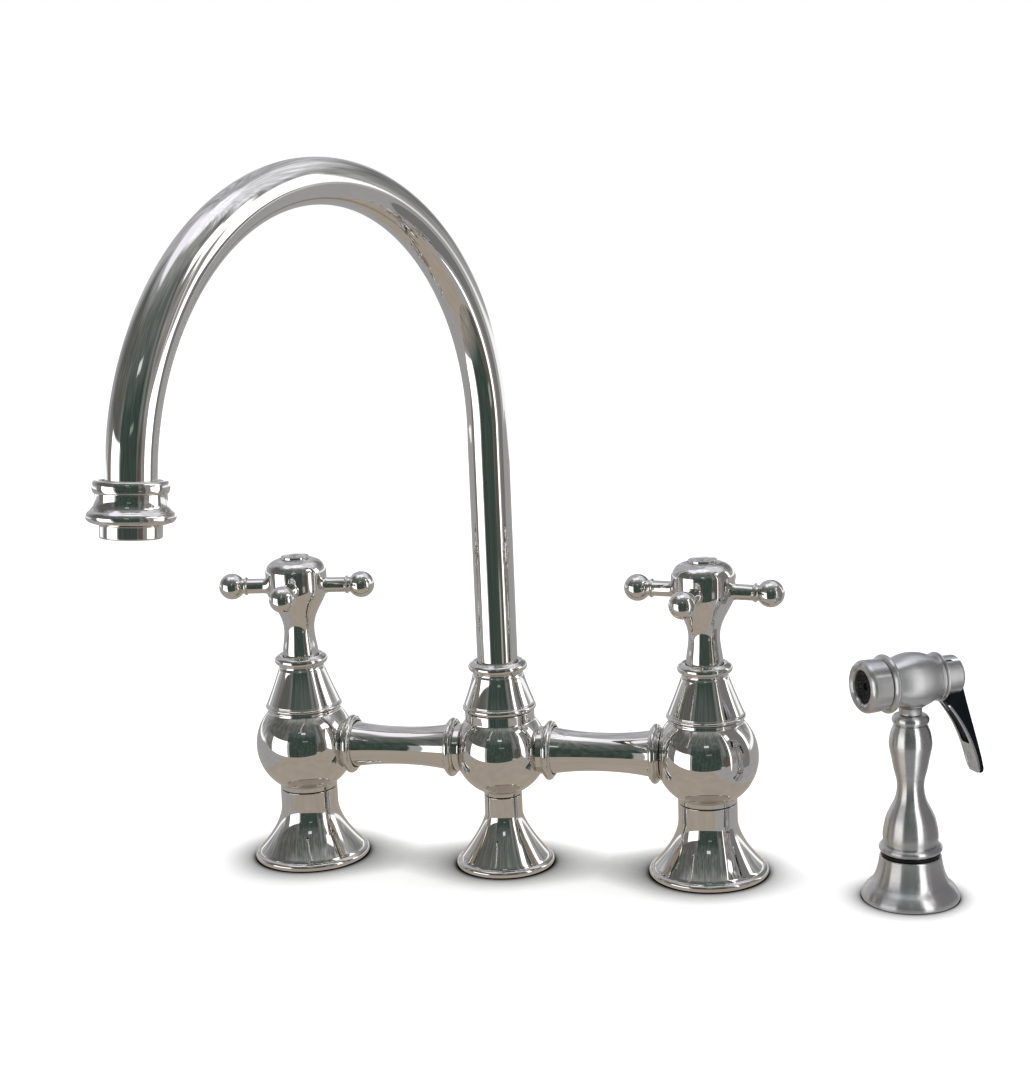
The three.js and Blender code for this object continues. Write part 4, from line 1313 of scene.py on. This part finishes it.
def add_camera():
    """The photo's camera: aimed at a point over the bridge, and rolled a little."""
    forward = (CAMERA_TARGET - CAMERA_PLACE).normalized()
    right = forward.cross(UP).normalized()
    up = right.cross(forward)
    across = right * math.cos(CAMERA_ROLL) - up * math.sin(CAMERA_ROLL)
    above = right * math.sin(CAMERA_ROLL) + up * math.cos(CAMERA_ROLL)
    data = bpy.data.cameras.new("camera")
    data.lens = LENS
    data.sensor_width = FILM_WIDTH
    camera = bpy.data.objects.new("camera", data)
    axes = Matrix((across, above, -forward)).transposed().to_4x4()
    camera.matrix_world = Matrix.Translation(CAMERA_PLACE) @ axes
    bpy.context.scene.collection.objects.link(camera)
    bpy.context.scene.camera = camera


# ---- Floor, studio and light ----

MIRRORED = (0.73, 0.71, 0.68, 1)  # the share of each colour's light that the nickel mirrors
ROOM_RADIUS = 2.5
FLOOR_SIZE = 8
CARD_HEIGHT = 300 * MM
PAPER = (0.92, 0.92, 0.92, 1)
PAPER_LIFT = 0.33  # light that only the camera sees, which takes the lit paper to white
# The floor's painted shadow: how far and which way it looks for the object, and how the open share
# is mapped and deepened.
PAINTED_SHADOW_REACH = 0.055
PAINTED_SHADOW_SIDE = (0.51, 0.82, 0.26)  # the floor looks this way for what darkens it
PAINTED_SHADOW_RANGE = (0.42, 0.9)
PAINTED_SHADOW_POWER = 2.6
SUN_STRENGTH = 2.5
SUN_WIDTH = math.radians(75)
SUN_FROM = Vector((0.36, 0.2, 1.0))
SOFT_LIGHT = 0.28


def seen(red, green, blue):
    """The light of a surface that the nickel mirrors as this colour."""
    return tuple(value / share for value, share in zip(srgb(red, green, blue), MIRRORED))


WHITE = (2.3, 2.3, 2.33, 1)
STONE = seen(154, 144, 132)
PALE = seen(150, 148, 146)
ROOM = seen(152, 152, 150)
CARD_GREY = seen(112, 109, 109)

# What the polished nickel mirrors: colour, azimuths, elevations and the softness of both edges,
# in degrees. Azimuth 0 is the user's side and 90 is +X. A later panel lies over an earlier one.
WALLS = (
    (seen(134, 128, 119), (-90, 100), (-100, -36), (20, 8)),
    (seen(162, 161, 163), (-200, -52), (4, 100), (30, 20)),
    (seen(136, 137, 133), (-62, 72), (44, 100), (24, 20)),
    (seen(208, 207, 210), (76, 200), (44, 100), (24, 20)),
    (seen(112, 112, 110), (134, 190), (14, 38), (22, 14)),
    (seen(248, 248, 252), (-220, 220), (76, 100), (10, 8)),
    (seen(150, 150, 149), (104, 200), (-100, -8), (12, 8)),
    (seen(166, 166, 164), (-200, -84), (-100, -6), (8, 8)),
    (seen(88, 88, 84), (-104, -24), (10, 52), (36, 16)),
    (seen(112, 108, 104), (-86, -60), (-26, 16), (4, 4)),
    (seen(88, 93, 88), (-34, 48), (24, 60), (12, 22)),
    (seen(57, 67, 61), (-27, 43), (-38, 32), (2, 20)),
    (seen(86, 87, 82), (43, 64), (-38, 52), (3, 10)),
    (seen(84, 77, 71), (46, 64), (-38, 9), (3, 6)),
    (seen(134, 130, 127), (62, 108), (-30, 44), (4, 8)),
    (seen(118, 117, 114), (64, 92), (30, 60), (8, 10)),
)
WINDOWS = (
    (seen(108, 115, 110), (46, 54), (10, 50), (2, 8)),
    (seen(240, 236, 244), (-118, -36), (61, 80), (24, 5)),
    (WHITE, (-66, -27), (-34, 15), (1.5, 1.5)),
    (seen(152, 154, 150), (-27, -22), (-34, 14), (1.5, 2)),
    (seen(250, 250, 250), (-140, -90), (-5, 2), (14, 3)),
    (WHITE, (69, 88), (37, 47), (4, 3)),
    (WHITE, (84, 103), (27, 43), (6, 5)),
    (WHITE, (100, 121), (3, 32), (4, 7)),
    (seen(205, 216, 210), (5, 17), (33, 37), (1.5, 1.5)),
    (seen(128, 142, 134), (10, 22), (16, 18), (2, 1.5)),
    (seen(156, 156, 146), (41, 50), (-16, -10), (2, 2)),
    (seen(235, 235, 235), (88, 90), (-26, 30), (1, 6)),
    (seen(244, 244, 242), (122, 200), (-5, 5), (10, 4)),
    (seen(244, 244, 242), (-200, -146), (-5, 5), (10, 4)),
)


def stage_material(name):
    """A material of light alone, its light and its Object coordinates."""
    material, tree, light, place = new_material(name, "ShaderNodeEmission")
    material.cycles.emission_sampling = "NONE"
    return material, tree, light, place


def soft_box(tree, vector, across, up, soft):
    """The mask of a soft-edged box, from its limits in the vector's X and Y."""
    middle = [(start + end) / 2 for start, end in (across, up)]
    half = [(end - start) / 2 for start, end in (across, up)]
    inner = [size - edge / 2 for size, edge in zip(half, soft)]
    outer = [size + edge / 2 for size, edge in zip(half, soft)]
    return place_group(tree, SOFT_BOX, Vector=vector, Middle=(*middle, 0), Inner=(*inner, 0),
                       Outer=(*outer, 1))["Mask"]


def varied(tree, colour, vector, scale, least, most):
    """A colour made lighter and darker by a stretched noise."""
    clouds = noise(tree, vectors(tree, "MULTIPLY", vector, scale), 1.0, 4.0)
    return scaled(tree, colour, ranged(tree, clouds, 0.32, 0.68, least, most))


def reflected_only(piece, material):
    """Shows a piece of the studio in the metal's reflections alone."""
    piece.data.materials.append(material)
    piece.visible_camera = False
    piece.visible_diffuse = False
    piece.visible_shadow = False
    piece.visible_transmission = False


def add_room():
    """A dome round the object, with soft panels on its inside."""
    deselect()
    bpy.ops.mesh.primitive_uv_sphere_add(
        segments=64, ring_count=32, radius=ROOM_RADIUS, location=(0, 0, BRIDGE_HEIGHT * MM)
    )
    room = bpy.context.object
    room.name = "room"
    material, tree, light, place = stage_material("room")
    parts = add(tree, "ShaderNodeSeparateXYZ", {0: place}).outputs
    azimuth = maths(tree, "ARCTAN2", parts["X"], maths(tree, "MULTIPLY", parts["Y"], -1.0))
    elevation = maths(tree, "ARCSINE", maths(tree, "DIVIDE", parts["Z"], ROOM_RADIUS))
    angles = add(tree, "ShaderNodeCombineXYZ", {0: azimuth, 1: elevation}).outputs[0]
    degrees = scaled(tree, angles, math.degrees(1))
    colour = ROOM
    for panel, *where in WALLS:
        colour = tinted(tree, soft_box(tree, degrees, *where), colour, panel)
    colour = varied(tree, colour, degrees, (0.4, 0.03, 0), 0.66, 1.34)
    colour = varied(tree, colour, degrees, (0.14, 0.14, 0), 0.78, 1.26)
    for panel, *where in WINDOWS:
        colour = tinted(tree, soft_box(tree, degrees, *where), colour, panel)
    fill(tree, light, {"Color": colour})
    reflected_only(room, material)


def add_worktop():
    """The worktop that the nickel mirrors: stone under the faucet, fading to a pale floor."""
    deselect()
    bpy.ops.mesh.primitive_plane_add(size=1)
    worktop = bpy.context.object
    worktop.name = "worktop_reflection"
    placed(worktop, Matrix.Translation((0, 0.61, 0.0004)) @ Matrix.Diagonal((3.0, 1.6, 1, 1)))
    material, tree, light, place = stage_material("worktop_reflection")
    mask = soft_box(tree, place, (-0.19, 0.165), (-0.3, 0.22), (0.03, 0.08))
    colour = varied(tree, tinted(tree, mask, PALE, STONE), place, (30, 30, 0), 0.93, 1.07)
    fill(tree, light, {"Color": colour})
    reflected_only(worktop, material)


def add_cards():
    """Two cards beside the spray: a white one edge-on to the right post, and a grey one."""
    cards = (
        ("spray_card_white", [(150, 2), (600, 2)], at(POST_SPACING, 0, 0, -30), WHITE),
        ("spray_card_grey", [(-30, 2), (80, 2)], at(SPRAY_X + 75, SPRAY_Y, 0, 90), CARD_GREY),
    )
    for name, base, place, colour in cards:
        card = chain(name, base)
        extrude(0, 0, CARD_HEIGHT)
        close_up()
        placed(card, place)
        material, tree, light, _ = stage_material(name)
        fill(tree, light, {"Color": colour})
        reflected_only(card, material)


def add_floor():
    """White paper with a shadow painted into its colour and its camera-only light: it darkens softly
    round the feet, on their left and front.
    """
    deselect()
    bpy.ops.mesh.primitive_plane_add(size=FLOOR_SIZE)
    floor = bpy.context.object
    floor.name = "floor"
    material, tree, both, _ = new_material("floor", "ShaderNodeAddShader")
    # Painted shadow: ambient occlusion darkens the paper's colour and its lift near the object.
    near = add(tree, "ShaderNodeAmbientOcclusion", {"Distance": PAINTED_SHADOW_REACH, "Normal": PAINTED_SHADOW_SIDE},
               samples=48)
    open_share = ranged(tree, near.outputs["AO"], *PAINTED_SHADOW_RANGE)
    painted_shadow_factor = maths(tree, "POWER", open_share, PAINTED_SHADOW_POWER)
    colour = tinted(tree, painted_shadow_factor, (0, 0, 0, 1), PAPER)
    paper = add(tree, "ShaderNodeBsdfDiffuse", {"Color": colour})
    ray = tree.nodes.new("ShaderNodeLightPath")
    lift = maths(tree, "MULTIPLY", ray.outputs["Is Camera Ray"], PAPER_LIFT)
    light = add(tree, "ShaderNodeEmission",
                {"Color": (1, 1, 1, 1), "Strength": maths(tree, "MULTIPLY", lift, painted_shadow_factor)})
    fill(tree, both, {0: paper.outputs[0], 1: light.outputs[0]})
    floor.data.materials.append(material)
    floor.visible_glossy = False


def add_light():
    """One wide lamp above and behind on the right, and an even world round it."""
    lamp = bpy.data.lights.new("key", "SUN")
    lamp.energy = SUN_STRENGTH
    lamp.angle = SUN_WIDTH
    key = bpy.data.objects.new("key", lamp)
    key.matrix_world = SUN_FROM.to_track_quat("Z", "Y").to_matrix().to_4x4()
    key.visible_glossy = False
    bpy.context.scene.collection.objects.link(key)

    world = bpy.data.worlds.new("studio")
    bpy.context.scene.world = world
    world.use_nodes = True
    tree = world.node_tree
    tree.nodes.clear()
    ray = tree.nodes.new("ShaderNodeLightPath").outputs
    direct = maths(tree, "MAXIMUM", ray["Is Camera Ray"], ray["Is Glossy Ray"])
    direct = maths(tree, "MAXIMUM", direct, ray["Is Transmission Ray"])
    strength = ranged(tree, direct, 0.0, 1.0, SOFT_LIGHT, 1.0)
    light = add(tree, "ShaderNodeBackground", {"Color": (1, 1, 1, 1), "Strength": strength})
    add(tree, "ShaderNodeOutputWorld", {"Surface": light.outputs[0]})


add_camera()
add_floor()
add_room()
add_worktop()
add_cards()
add_light()
bpy.context.scene.view_settings.view_transform = "Standard"
